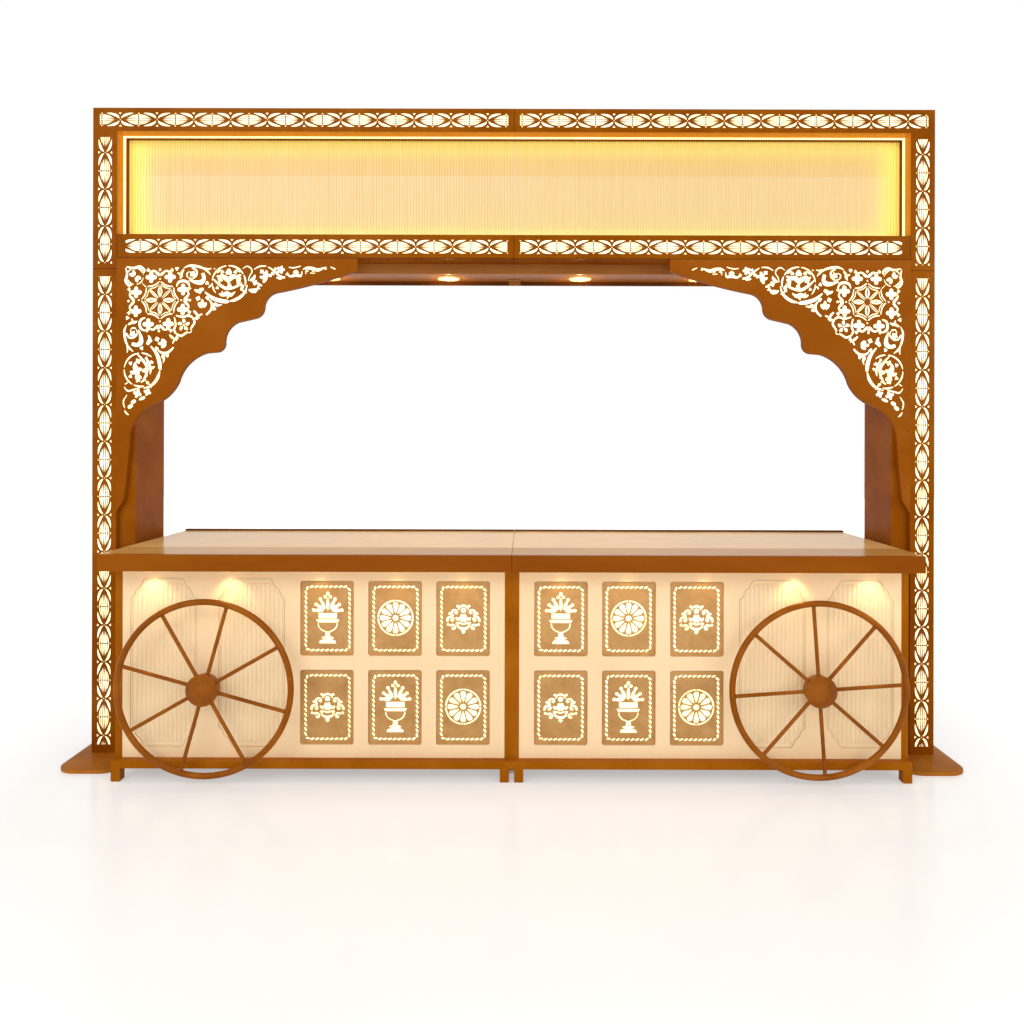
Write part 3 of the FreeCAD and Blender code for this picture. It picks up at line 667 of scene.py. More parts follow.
def stone_top(name):
    """The pale counter top: a warm cast slab with faint veins and a polished coat."""
    material, tree, shader = start_material(name)
    where = places(tree)
    cloud = noise(tree, where, 2.4, 7, 0.6, 1.2)
    colour = ramp(tree, cloud, (0.28, tone(220, 172, 104)), (0.5, tone(231, 184, 116)),
        (0.74, tone(240, 198, 138)))
    vein = noise(tree, places(tree, (1, 3, 1)), 3.5, 8, 0.7, 2.5)
    line = ramp(tree, vein, (0.485, DARK), (0.5, WHITE), (0.515, DARK))
    inputs = {
        "Base Color": mixed(tree, "MIX", level(tree, line, 0, 0.35, 0, 1), colour, tone(206, 164, 112)),
        "Roughness": level(tree, cloud, 0.12, 0.24),
        "Specular IOR Level": 0.04,
        "Coat Weight": 0.03,
        "Coat Roughness": 0.08,
        "Normal": bumped(tree, noise(tree, where, 90, 3), 0.05, 0.0004, 0.001),
    }
    fill(tree, shader, inputs)
    return material


def glow(name, low, high, strength):
    """A milky light sheet whose brightness varies a little; on the spotlights' bezels it is a painted glow.
    """
    material, tree, shader = start_material(name)
    where = places(tree)
    cloud = noise(tree, where, 9, 3, 0.5)
    colour = ramp(tree, cloud, (0.35, tone(*low)), (0.65, tone(*high)))
    inputs = {
        "Base Color": colour,
        "Emission Color": colour,
        "Emission Strength": strength,
        "Roughness": level(tree, cloud, 0.35, 0.5),
        "Normal": bumped(tree, noise(tree, where, 300, 2), 0.08, 0.0004),
    }
    fill(tree, shader, inputs)
    return material


def painted_glow_lining(name):
    """Golden sheet beside a light, with painted light: deeper at its front edge, brighter towards the
    light, and a faint glow of its own that paints the light falling on it.
    """
    material, tree, shader = start_material(name)
    front = span("header_top_rail")[1][0] * MM
    back = span("header_panel")[1][0] * MM
    inward = level(tree, parts(tree)["Y"], 0, 1, front, back)
    colour = ramp(tree, inward, (0, tone(186, 112, 18)), (0.5, tone(220, 150, 42)), (1, tone(250, 200, 84)))
    cloud = noise(tree, places(tree), 14)
    colour = mixed(tree, "MULTIPLY", level(tree, cloud, 0, 0.2), colour, tone(226, 180, 120))
    # Painted light: the ramp brightens towards the header's lights and the sheet glows faintly, though it
    # is no lamp.
    inputs = {
        "Base Color": colour,
        "Emission Color": colour,
        "Emission Strength": 0.3,
        "Specular IOR Level": 0.1,
        "Roughness": level(tree, cloud, 0.3, 0.45),
    }
    fill(tree, shader, inputs)
    return material


def gilt(name):
    """The tiles' golden face: brushed metal paint with a fine hammered grain and a painted highlight along
    its edges.
    """
    material, tree, shader = start_material(name)
    where = places(tree)
    cloud = noise(tree, where, 16, 6, 0.62, 0.5)
    colour = ramp(tree, cloud, (0.3, tone(164, 117, 58)), (0.5, tone(178, 132, 72)),
        (0.72, tone(192, 147, 88)))
    speck = level(tree, noise(tree, where, 700, 2), 0, 0.16, 0.55, 0.8)
    colour = mixed(tree, "SCREEN", speck, colour, tone(255, 226, 160))
    # Painted highlight: the edges are mixed towards a bright gold.
    edge_highlight = level(tree, edge_highlight_mask(tree, 0.001), 0, 0.7, 0, 1)
    inputs = {
        "Base Color": mixed(tree, "MIX", edge_highlight, colour, tone(246, 200, 110)),
        "Roughness": level(tree, cloud, 0.32, 0.46),
        "Metallic": 0.25,
        "Normal": bumped(tree, noise(tree, where, 520, 3, 0.6), 0.25, 0.0006, 0.0008),
    }
    fill(tree, shader, inputs)
    return material


def header_glow(name):
    """The header's face, a light box: painted light bright yellow by its lights at the bottom, top and
    sides, peach above a step and paler below it, and painted shade in stripes across its reeds.
    """
    material, tree, shader = start_material(name)
    face_x, _, face_z = span("header_panel")
    place = parts(tree)
    up = level(tree, place["Z"], 0, 1, face_z[0] * MM, face_z[1] * MM)
    stops = [(share, tone(*shade)) for share, *shade in FACE_TONES]
    upright = ramp(tree, up, *stops)
    outward = add(tree, "Math", {0: place["X"]}, operation="ABSOLUTE").outputs[0]
    side = level(tree, outward, 0, 1, face_x[1] * MM - 0.17, face_x[1] * MM - 0.005)
    # Painted light: the face turns bright yellow towards its side lights.
    side_glow = ramp(tree, side, (0, DARK), (0.45, (0.12, 0.12, 0.12, 1)), (0.9, WHITE))
    colour = mixed(tree, "MIX", side_glow, upright, stops[-1][1])
    drift = noise(tree, places(tree, (26, 1, 0.6)), 5, 3)
    colour = mixed(tree, "MULTIPLY", level(tree, drift, 0, 0.16, 0.4, 0.7), colour, tone(240, 196, 150))
    object_place = add(tree, "TexCoord").outputs["Object"]
    # Painted shade: darker stripes across the reeds.
    reed_waves = add(tree, "TexWave", {"Scale": 0.314 / (FACE_PITCH * MM), "Vector": object_place})
    reed_shade = level(tree, reed_waves.outputs["Fac"], 0, 0.3, 0.5, 1)
    colour = mixed(tree, "MULTIPLY", reed_shade, colour, tone(240, 190, 130))
    inputs = {
        "Base Color": colour,
        "Emission Color": colour,
        "Emission Strength": 0.22,
        "Roughness": level(tree, drift, 0.3, 0.45),
        "Normal": bumped(tree, noise(tree, places(tree), 160, 3), 0.05, 0.0005),
    }
    fill(tree, shader, inputs)
    return material


def metal(name, low, high, metallic=0.9, scale=40, stretch=(1, 1, 1)):
    material, tree, shader = start_material(name)
    where = places(tree, stretch)
    cloud = noise(tree, where, scale, 5, 0.6)
    inputs = {
        "Base Color": ramp(tree, cloud, (0.3, tone(*low)), (0.7, tone(*high))),
        "Metallic": metallic,
        "Roughness": level(tree, cloud, 0.28, 0.45),
        "Normal": bumped(tree, noise(tree, where, scale * 9, 3), 0.12, 0.0004, 0.0006),
    }
    fill(tree, shader, inputs)
    return material


# Each lacquer's fourth shade is the painted highlight along its edges.
BROWN = lacquer("brown_lacquer", ((126, 62, 2), (142, 76, 5), (158, 90, 17), (182, 112, 40)))
BOARD_BROWN = lacquer(
    "board_brown", ((136, 70, 6), (148, 80, 13), (162, 94, 30), (164, 94, 30)), (0.4, 0.54), 0.01, (3, 6, 5)
)
FRAME_BROWN = lacquer("frame_brown", ((144, 78, 4), (158, 89, 9), (172, 104, 22), (194, 124, 48)))
PLATE_BROWN = lacquer(
    "plate_brown", ((160, 94, 20), (180, 110, 34), (196, 126, 50), (208, 142, 70)), coat=0.04
)
FASCIA_BROWN = lacquer(
    "fascia_brown",
    ((126, 62, 1), (140, 73, 2), (154, 86, 10), (180, 110, 38)),
    (0.16, 0.26),
    0.08,
    (2, 6, 6),
)
# Painted reflection: the border board is brown glossy board, and this pale tan paints the light its top
# reflects.
BORDER_PAINTED_REFLECTION = lacquer(
    "border_painted_reflection",
    ((180, 126, 60), (194, 142, 74), (208, 160, 94), (226, 182, 120)),
    (0.16, 0.26),
    0.04,
    (3, 6, 6),
)
CEILING_BROWN = lacquer(
    "ceiling_brown", ((146, 90, 42), (162, 103, 50), (176, 118, 60), (190, 130, 70)), grain=(3, 7, 7)
)
WHEEL_PAINT = lacquer(
    "wheel_paint",
    ((120, 60, 6), (144, 78, 12), (164, 96, 26), (208, 148, 82)),
    (0.3, 0.44),
    0.05,
    (14, 14, 14),
    0.12,
)
TRIM = lacquer("dark_trim", ((76, 40, 14), (94, 52, 20), (112, 66, 30), (144, 94, 54)), grain=(4, 8, 8))
# Painted shade: the dark strips that stand for the shade in the seams.
SEAM_SHADE_PAINT = lacquer("seam_shade_paint", ((40, 19, 5), (50, 25, 8), (62, 33, 13), (84, 48, 22)))
CREAM = painted_board("cream_board", (240, 209, 164), (247, 218, 176), (236, 204, 160))
INSET_CREAM = painted_board("inset_cream", (240, 212, 168), (246, 222, 182), (232, 200, 158))
INNER_BOARD = painted_board("inner_board", (196, 150, 98), (214, 170, 118), (170, 120, 70), (0.5, 0.65))
BLACK = painted_board("black_plastic", (24, 24, 25), (36, 36, 38), (14, 14, 15), (0.4, 0.55), 420)
TOP = stone_top("cream_top")
GILT = gilt("tile_gilt")
DIFFUSER = glow("diffuser", (255, 243, 186), (255, 252, 214), 1)
LAMP = glow("light", (255, 246, 206), (255, 254, 236), 2.2)
LINE_LIGHT = glow("line_light", (255, 240, 160), (255, 248, 194), 1.2)
# Painted light: the bezels glow though they are no lamps.
BEZEL_PAINTED_GLOW = glow("bezel_painted_glow", (238, 180, 92), (250, 204, 120), 0.45)
FACE = header_glow("header_face")
LINING_PAINTED_GLOW = painted_glow_lining("reveal_lining")
INNER_METAL = metal("inner_metal", (176, 172, 164), (206, 202, 194), scale=24, stretch=(1, 1, 4))
STEEL = metal("plain_steel", (120, 118, 116), (168, 166, 162))
CASE = metal("electric_case", (196, 196, 194), (222, 222, 220), 0.6, 30)


# Casings with bands of cut-outs


def band_motif():
    """The outlines of one motif of the band from joint to joint, about its bud's centre."""
    shapes = []
    for su in (-1, 1):
        for sv in (-1, 1):
            for points, widths in (
                ([(65.4, 4.6), (58.5, 12.6), (47.5, 18), (35, 21.6), (17, 25)], (2.6, 8.4, 10.4, 7.6, 0.5)),
                ([(46, 4.2), (26, 7.6), (1.4, 8.6)], (0.8, 6, 7.4)),
                ([(38, 10), (20, 14.6), (1.4, 16.6)], (0.8, 4.6, 5.6)),
            ):
                shapes.append(scaled(stroke(flow(points, 4), widths), su, sv))
        shapes.append(scaled(stroke([(52, 0), (24, 0), (1.4, 0)], (0.6, 5.4, 8)), su, 1))
    for sv in (-1, 1):
        shapes.append(scaled([(-4.5, 22.2), (0, 21), (4.5, 22.2), (0, 26.3)], 1, sv))
    return shapes


def joint_motif():
    """The small shapes where two motifs meet: a diamond and a triangle at each edge."""
    shapes = [[(2.7, 0), (0, 2.7), (-2.7, 0), (0, -2.7)]]
    for sv in (-1, 1):
        shapes.append(scaled([(6.4, 26.4), (-6.4, 26.4), (0, 18.6)], 1, sv))
    return shapes


def band_holes(limits, joint):
    """The motifs between two limits, with the joints in step with one joint's place."""
    first = math.floor((limits[0] - joint) / PITCH)
    last = math.ceil((limits[1] - joint) / PITCH)
    holes = []
    for step in range(first, last + 1):
        centre = joint + (step + 0.5) * PITCH
        row = [moved(shape, centre, 0) for shape in band_motif()]
        row += [moved(shape, centre - PITCH / 2, 0) for shape in joint_motif()]
        for shape in row:
            cut = clipped(shape, limits[0], limits[1])
            if len(cut) > 2 and abs(area(cut)) > 0.8:
                holes.append(cut)
    return holes


def channel(front, back, low, high, wall):
    """The U-shaped section behind a casing's front sheet, as (depth, across) points."""
    return [
        (front, low),
        (back, low),
        (back, high),
        (front, high),
        (front, high - wall),
        (back - wall, high - wall),
        (back - wall, low + wall),
        (front, low + wall),
    ]


def rail(node, limits, joint, side, outer, lift=0):
    """Half of a header rail: its pierced front sheet, its folded body and a seam at the centre."""
    _, y, z = span(node)
    x = (SEAM, outer)
    holes = [moved(hole, 0, middle(z)) for hole in band_holes(limits, joint)]
    z = (z[0] + lift, z[1])
    outline = rectangle(x, z)
    if side < 0:
        outline = scaled(outline, -1, 1)
        holes = [scaled(hole, -1, 1) for hole in holes]
    front = plate_solid(outline, holes, (y[0], y[0] + SHEET))
    body = bar_solid(channel(y[0] + SHEET, y[1], z[0], z[1], SHEET), "x", *sided(side, *x))
    return [front, body]


def header_rails():
    for suffix, side in SIDES:
        outer = span("header_top_rail")[0][1]
        solids = rail("header_top_rail", TOP_RAIL_BAND, TOP_RAIL_JOINT, side, outer)
        _, y, z = span("header_top_rail")
        end = sided(side, outer - SHEET, outer)
        solids.append(box_solid(end, (y[0] + SHEET, y[1] - SHEET), (z[0] + SHEET, z[1] - SHEET)))
        piece("top_rail_" + suffix, solids, BROWN, replaced=("header_top_rail",))
        outer = span("header_lower_rail")[0][1] - RAIL_LIFT
        solids = rail("header_lower_rail", LOWER_RAIL_BAND, LOWER_RAIL_JOINT, side, outer, RAIL_LIFT)
        piece("lower_rail_" + suffix, solids, BROWN, replaced=("header_lower_rail",))


def column(name, node, limits, joint, trims):
    """A pillar casing: the pierced front sheet and the folded body behind it."""
    x, y, z = span(node)
    z = (z[0] + trims[0], z[1] - trims[1])
    holes = [moved(swapped(hole), middle(x), 0) for hole in band_holes(limits, joint)]
    front = plate_solid(rectangle(x, z), holes, (y[0], y[0] + SHEET))
    section = [(across, depth) for depth, across in channel(y[0] + SHEET, y[1], x[0], x[1], SHEET)]
    body = bar_solid(section, "z", z[0], z[1])
    piece(name, [front, body], BROWN, replaced=(node,))


def columns():
    for side in ("left", "right"):
        low = "lower_column_" + side
        high = "upper_column_" + side
        column("pillar_low_" + side, low, LOWER_COLUMN_BAND, LOWER_COLUMN_JOINT, (0, SEAM))
        column("pillar_high_" + side, high, UPPER_COLUMN_BAND, UPPER_COLUMN_JOINT, (SEAM, 0.2))


# Arch brackets


def bulged(points, steps=10):
    """An outline of (u, v, bulge) points with its arcs drawn out; the bulge is to the left of travel."""
    outline = []
    for (u, v, bulge), (next_u, next_v, _) in zip(points, points[1:] + points[:1]):
        outline.append((u, v))
        if not bulge:
            continue
        half = math.hypot(next_u - u, next_v - v) / 2
        rise = 2 * bulge * half
        radius = (half * half + rise * rise) / (2 * rise)
        mid_u = (u + next_u) / 2
        mid_v = (v + next_v) / 2
        left = (-(next_v - v) / (2 * half), (next_u - u) / (2 * half))
        centre = (mid_u + left[0] * (rise - radius), mid_v + left[1] * (rise - radius))
        first = math.atan2(v - centre[1], u - centre[0])
        last = math.atan2(next_v - centre[1], next_u - centre[0])
        sweep = (last - first + math.pi) % (2 * math.pi) - math.pi
        for step in range(1, steps):
            turn = first + sweep * step / steps
            outline.append(
                (centre[0] + abs(radius) * math.cos(turn), centre[1] + abs(radius) * math.sin(turn))
            )
    return outline


def bracket_outline():
    """The bracket's edge, in from the column and down from the header rail."""
    points = [(0, 0, 0), (BRACKET_REACH, 0, 0)]
    for reach_share, drop_share, bulge in BRACKET_EDGE_SHARES:
        points.append((reach_share * BRACKET_REACH, drop_share * BRACKET_DROP, bulge))
    return bulged(points)


def on_diagonal(shapes):
    """The shapes and their mirror images about the corner's diagonal."""
    return shapes + [swapped(shape) for shape in shapes]


def four_lobed(centre, radius=22, first=0):
    return lobed(centre, radius, 4, 0.5, first)


def sprig(root, angle, length, width):
    """Three leaves that spread from one root."""
    shapes = []
    for turn, share in ((-38, 0.78), (0, 1), (38, 0.78)):
        way = math.radians(angle + turn)
        tip = (root[0] + length * share * math.cos(way), root[1] + length * share * math.sin(way))
        shapes.append(leaf(root, tip, width))
    return shapes


def rosette_shapes(centre):
    """The eight-petalled rosette in a star of double lines."""
    shapes = []
    for step in range(8):
        angle = 45 * step
        if step % 2:
            for sign in (-1, 1):
                petal = stroke([(11, sign * 2.6), (34, sign * 3.4), (57, sign * 2.4)], (2.8, 4.4, 3.2))
                shapes.append(moved(turned(petal, angle), *centre))
        else:
            for sign in (-1, 1):
                petal = leaf((10, sign * 0.9), (56, sign * 0.9), 7.2, sign * 0.1)
                shapes.append(moved(turned(petal, angle), *centre))
        for reach, thick in ((1, 6.2), (0.855, 4.4)):
            tips = [(72 * reach, 0)]
            knee = math.radians(22.5)
            tips.append((60 * reach * math.cos(knee), 60 * reach * math.sin(knee)))
            far = math.radians(45)
            tips.append((72 * reach * math.cos(far), 72 * reach * math.sin(far)))
            line = flow(tips, 6)[1:-1]
            shapes.append(moved(turned(stroke(line, (thick * 0.7, thick, thick * 0.7)), angle), *centre))
        tip = [(75.5, 0), (79, -4.4), (85.5, 0), (79, 4.4)]
        if step % 2 == 0:
            shapes.append(moved(turned(tip, angle), *centre))
    return shapes


def strokes(table):
    """Outlines from a table of (widths, path points)."""
    shapes = []
    for widths, path in table:
        shapes.append(stroke(flow(path, 5), [ORNAMENT_WEIGHT * width for width in widths]))
    return shapes


def fleur(centre, angle):
    """A flower seen from its side: two curled wings, a stem and a diamond."""
    shapes = [[(0, 22), (6, 28.5), (0, 36), (-6, 28.5)]]
    for sign in (-1, 1):
        wing = stroke(flow([(0, 8), (9, 14), (22, 24.5), (36, 22), (47, 34)], 5), (10, 11, 7.4, 7, 8))
        shapes.append(scaled(wing, sign, 1))
        shapes.append(scaled(ellipse((45, 27), 7, 6, 12), sign, 1))
    return [moved(turned(shape, angle), *centre) for shape in shapes]


def scroll_shapes():
    """The corner flower, the curls along the top and the S-shaped leaves, in from the column and down."""
    return strokes(
        (
            ((1.6, 5, 6.4, 4.4, 1.6), ((33, 36), (38.5, 62), (34, 86), (46, 104), (60, 98))),
            ((1.4, 1.6), ((94, 94), (110, 108))),
            ((1.6, 4.6, 5, 4, 4, 1.4), ((251, 38), (274, 28.5), (302, 31), (325, 38), (341, 49),
                (353, 63))),
            ((2.6, 3.6, 1.8), ((325, 37), (343, 41), (357, 39))),
            ((3.4, 3.8, 3.6, 3.2, 1.4), ((282, 35), (299, 46), (300, 64), (284, 78), (266, 72))),
            ((3.2, 3, 1.2), ((266, 72), (264, 58), (276, 50))),
            ((6.4, 7.4, 10, 7.4, 1.2), ((323, 56), (328, 76), (319, 90), (299, 91), (270, 82))),
            ((2.2, 5, 5.4, 5, 2.2), ((225, 108), (232, 92), (249, 86), (267, 92), (275, 110))),
            ((2, 4, 6, 3), ((228, 55), (238, 60), (245, 54), (252, 42))),
            ((3, 6, 2), ((246, 52), (243, 66), (238, 78))),
            ((2, 6, 9, 5), ((292, 118), (302, 124), (314, 122), (326, 114))),
            ((3, 8, 4), ((316, 112), (314, 122), (312, 134))),
            ((2, 4.6, 4.8, 4.6, 3.4), ((347, 156), (357, 170), (357, 188), (349, 202), (336, 214))),
            ((2, 7, 5, 1.4), ((358, 180), (370, 174), (380, 178), (396, 175))),
            ((3.4, 5, 2), ((289, 198), (300, 210), (311, 228))),
            ((3, 4, 2), ((322, 210), (309, 216), (297, 214))),
        )
    )


def rose_shapes():
    """The open rose on the diagonal."""
    shapes = strokes(
        (
            ((2.4, 4.2, 4.4, 3.6), ((222, 216), (250, 222), (270, 216), (286, 224))),
            ((3.6, 4.4, 4.4, 3.8), ((286, 224), (293, 242), (284, 258), (278, 270))),
        )
    )
    shapes = on_diagonal(shapes)
    shapes.append(stroke(flow([(282, 264), (279, 279), (264, 282)], 5), (3.6, 4.6, 3.6)))
    for step in range(5):
        petal = leaf((6, 0), (24, 0), 13, 0.16)
        shapes.append(moved(turned(petal, 72 * step + 45), 252, 252))
    shapes.append(ellipse((252, 252), 4.6, 4.6, 12))
    return shapes


def medallion_shapes():
    """The round medallion along the top: its ring, the big leaf under it and the sprays inside."""
    shapes = []
    for first, last in ((186, 262), (268, 330), (334, 372)):
        shapes.append(stroke(arc((421.5, 91.3), 63, first, last, 14), (4, 7, 7, 4)))
    shapes.append(stroke(arc((421.5, 91.3), 63, 140, 178, 10), (3, 6.4, 4.6)))
    shapes += strokes(
        (
            ((2, 7, 8, 6.6, 1.8), ((331, 127), (360, 150), (393, 161), (417, 163), (421, 160))),
            ((2.6, 6.4, 6, 4.4, 1.8), ((425, 162), (448, 156), (470, 142), (484, 124), (491, 100))),
            ((2.4, 4, 2), ((472, 120), (482, 127), (490, 131))),
            ((2, 5, 6, 5, 4.4, 1.6), ((363, 78), (384, 98), (411, 114), (436, 112), (461, 101), (470, 90))),
            ((2, 6, 3), ((376, 98), (384, 92), (388, 84))),
            ((3, 7, 3), ((452, 104), (458, 96), (452, 88))),
            ((3, 6, 2), ((462, 99), (472, 104), (478, 112))),
            ((2, 7.4, 9, 7.4, 1.6), ((384, 134), (398, 138), (414, 134), (430, 138), (446, 126))),
            ((2, 5, 2), ((396, 124), (398, 136), (392, 144))),
            ((2, 5, 2), ((418, 136), (418, 146), (416, 152))),
            ((3, 5.6, 7, 9, 11, 9, 7.4, 3), ((376, 66), (386, 71), (396, 67), (408, 74), (421, 80),
                (436, 70), (452, 70), (468, 62))),
            ((5, 9, 3), ((421, 70), (421, 84), (421, 97))),
            ((2, 5.6, 2.4), ((392, 44), (384, 48), (377, 56))),
            ((2, 5.6, 2.4), ((450, 42), (458, 46), (466, 52))),
            ((1.6, 4.2, 1.6), ((356, 100), (350, 106), (346, 112))),
        )
    )
    shapes.append(lobed((421.5, 52), 13, 3, 0.3, -90))
    shapes.append(ellipse((368, 40), 3.2, 3.2, 10))
    return shapes


def foot_medallion_shapes():
    """The medallion down the leg: the same ring and leaf, with an upright palmette."""
    shapes = [swapped(shape) for shape in medallion_shapes()[:9]]
    shapes += strokes(
        (
            ((2, 9, 13, 9, 2), ((70, 392), (69, 408), (75, 424), (77, 440), (70, 456))),
            ((3, 8, 3), ((50, 428), (62, 432), (74, 430))),
            ((3, 8, 3), ((78, 428), (88, 420), (96, 424))),
            ((3, 6, 2), ((76, 444), (88, 448), (92, 456))),
            ((2, 5, 7, 5, 2), ((108, 372), (116, 386), (122, 402), (128, 420), (126, 438))),
            ((3, 6, 3), ((118, 396), (130, 392), (138, 396))),
            ((3, 6, 3), ((122, 412), (134, 414), (142, 408))),
            ((3, 6, 2), ((102, 456), (108, 446), (118, 444))),
            ((2, 5, 4), ((92, 470), (100, 462), (112, 458))),
        )
    )
    return shapes


def tip_shapes():
    """The leaves that taper towards the bracket's tip."""
    shapes = strokes(
        (
            ((1.8, 2.4, 2.4, 2.4, 2.4, 2), ((474, 40), (488.8, 30.5), (503.6, 36.6), (509, 51.4),
                (499.4, 68.2), (495.2, 86))),
            ((2, 7, 6, 2), ((500, 84), (510, 80), (517, 72), (520, 62))),
            ((2, 8, 9, 2), ((496, 118), (508, 122), (520, 122), (532, 114))),
            ((2, 4.4, 3), ((526, 90), (536, 99), (547, 104))),
            ((2, 4.4, 2), ((534, 100), (532, 110), (540, 116))),
            ((1.6, 3.4, 2), ((516.2, 42), (537.2, 31), (562.5, 29.5))),
            ((3, 10, 9, 3), ((565, 46), (560, 62), (558, 78), (552, 92))),
            ((2, 7, 3), ((538, 68), (548, 72), (558, 66))),
            ((3, 6, 2), ((562, 66), (574, 64), (582, 70))),
            ((1.6, 3.6, 4.8, 3.6), ((569, 32), (591.9, 47.2), (613, 67), (634, 73))),
            ((2.4, 4, 2), ((600, 72), (612, 76), (622, 78))),
            ((1.6, 3, 2), ((646.7, 33.4), (667.7, 35.5), (693, 28.8))),
            ((2, 4, 7, 4, 1.6), ((641, 51.4), (650.9, 67.2), (676.1, 62.9), (693, 66.1), (697, 48.2))),
            ((3, 7, 3), ((664, 55), (674, 50), (684, 56))),
            ((1.4, 2), ((709.8, 46), (712, 60))),
            ((1.6, 5, 6.4, 6.4, 4, 1.6), ((700, 42), (716, 36), (736, 38), (757, 44), (774, 38),
                (789.7, 32.4))),
            ((1.4, 2.4, 1.4), ((726.6, 54.5), (737, 56), (747.6, 54.7))),
            ((1.8, 2.6), ((804, 31.6), (823.4, 40.6))),
        )
    )
    shapes.append(lobed((617.2, 43), 16, 5, 0.42))
    return shapes


def foot_shapes():
    """The dashes and crosses that end the ornament down the leg."""
    shapes = strokes(
        (
            ((1.8, 3.4, 3.4, 1.8), ((27.9, 484.9), (41.6, 500.9), (64.4, 496.3), (87.3, 489.4))),
            ((1.6, 2.6, 1.6), ((30, 476), (38, 472), (44, 466))),
            ((1.8, 3.2, 3.2, 1.8), ((39.3, 516), (26.8, 537), (26.5, 552), (31, 566))),
            ((2, 3.8, 1.8), ((30, 574), (36, 584), (46, 592))),
            ((4, 8, 5), ((42, 564), (51, 560), (60, 553))),
            ((4, 8, 5), ((54, 547), (62, 543), (72, 536))),
            ((3, 6.6, 4), ((84, 534), (96, 529), (108, 524))),
        )
    )
    shapes.append(four_lobed((78, 511), 17, 20))
    shapes.append(four_lobed((116, 505), 15, 20))
    return shapes


def bracket_ornament():
    """Every cut-out of the bracket, in from the column and down from the header rail."""
    centre = (162.7, 158.8)
    shapes = rosette_shapes(centre)
    half = [
        four_lobed((129.5, 72.5)),
        four_lobed((200.7, 71.5)),
        four_lobed((249.5, 118.5)),
        four_lobed((248, 194)),
    ]
    half += scroll_shapes()
    half += sprig((322, 188), -90, 34, 15)
    half += fleur((centre[0], centre[1] - 86), 180)
    half += fleur((centre[0] + 83, centre[1]), -90)
    for angle in (22.5, 67.5, 202.5, 247.5):
        petal = leaf((2, 0), (25, 0), 14)
        half.append(moved(turned(petal, angle), 69, 69))
    for step in range(4):
        half.append(stroke(arc((69, 69), 31, 90 * step + 8, 90 * step + 82, 8), (3, 6, 3)))
    half += [lobed((u, v), radius, lobes, 0.42, turn) for u, v, radius, lobes, turn in BRACKET_FLOWERS]
    shapes += on_diagonal(half)
    shapes += [lobed((u, v), radius, lobes, 0.42, turn) for u, v, radius, lobes, turn in TIP_FLOWERS]
    shapes += rose_shapes()
    shapes += medallion_shapes()
    shapes += foot_medallion_shapes()
    shapes += tip_shapes()
    shapes += foot_shapes()
    return shapes


def brackets():
    column_inner = span("lower_column_right")[0][0]
    corner_z = span("header_lower_rail")[2][0]
    y = span("arch_bracket_right")[1]
    pocket = [(across * BRACKET_REACH, down * BRACKET_DROP) for across, down in BRACKET_POCKET_SHARES]
    for suffix, side in SIDES:

        def placed(points, side=side):
            return [(side * (column_inner - in_from), corner_z - down) for in_from, down in points]

        outline = placed(bracket_outline())
        holes = [placed(shape) for shape in bracket_ornament()]
        skin = cut_plate(outline, holes, (y[0], y[0] + BRACKET_SKIN))
        rear = plate_solid(outline, [placed(pocket)], (y[0] + BRACKET_SKIN, y[1]))
        piece(
            "arch_" + suffix, [skin, rear], BOARD_BROWN, replaced=("arch_bracket_" + suffix,)
        )
        sheet_y = (y[0] + BRACKET_SKIN + 0.1, y[0] + BRACKET_SKIN + 3.1)
        piece(
            "arch_light_" + suffix,
            [plate_solid(placed(pocket), [], sheet_y)],
            DIFFUSER,
            replaced=("arch_diffusers",),
        )
        piece(
            "arch_cover_" + suffix,
            [plate_solid(placed(pocket), [], (y[1] - 2, y[1]))],
            BROWN,
            replaced=("arch_back_covers",),
        )


# Wagon wheels


def hub_profile(front, back):
    """The turned hub and its ringed cap, as (radius, y) points."""
    core = front + CAP_HEIGHT
    profile = [(AXLE_BORE, back), (AXLE_BORE, core), (22, core), (22, front + 11), (0, front + 11)]
    profile += [(0, front), (5, front + 0.4), (8, front + 1.6)]
    for step in range(CAP_RINGS):
        ring = []
        for share in (step / CAP_RINGS, step / CAP_RINGS + 1 / CAP_RINGS):
            radius = CAP_NOSE + (CAP_RADIUS - CAP_NOSE) * share
            ring += [radius, front + CAP_HEIGHT * (0.1 + 0.9 * share ** 1.35)]
        radius, height, next_radius, next_height = ring
        drop = next_height - height
        profile.append((radius, height))
        profile.append((radius + (next_radius - radius) * 0.3, height - 0.3))
        profile.append((radius + (next_radius - radius) * 0.62, height + drop * 0.22))
        profile.append((next_radius - 1, height + drop * 0.55))
        profile.append((next_radius - 0.7, next_height - 0.5))
    profile += [(CAP_RADIUS, core - 0.6), (CAP_RADIUS, core), (51, core + 0.8), (HUB_RADIUS, core + 2.5)]
    return profile + [(HUB_RADIUS, back - 1.5), (HUB_RADIUS - 1.5, back)]


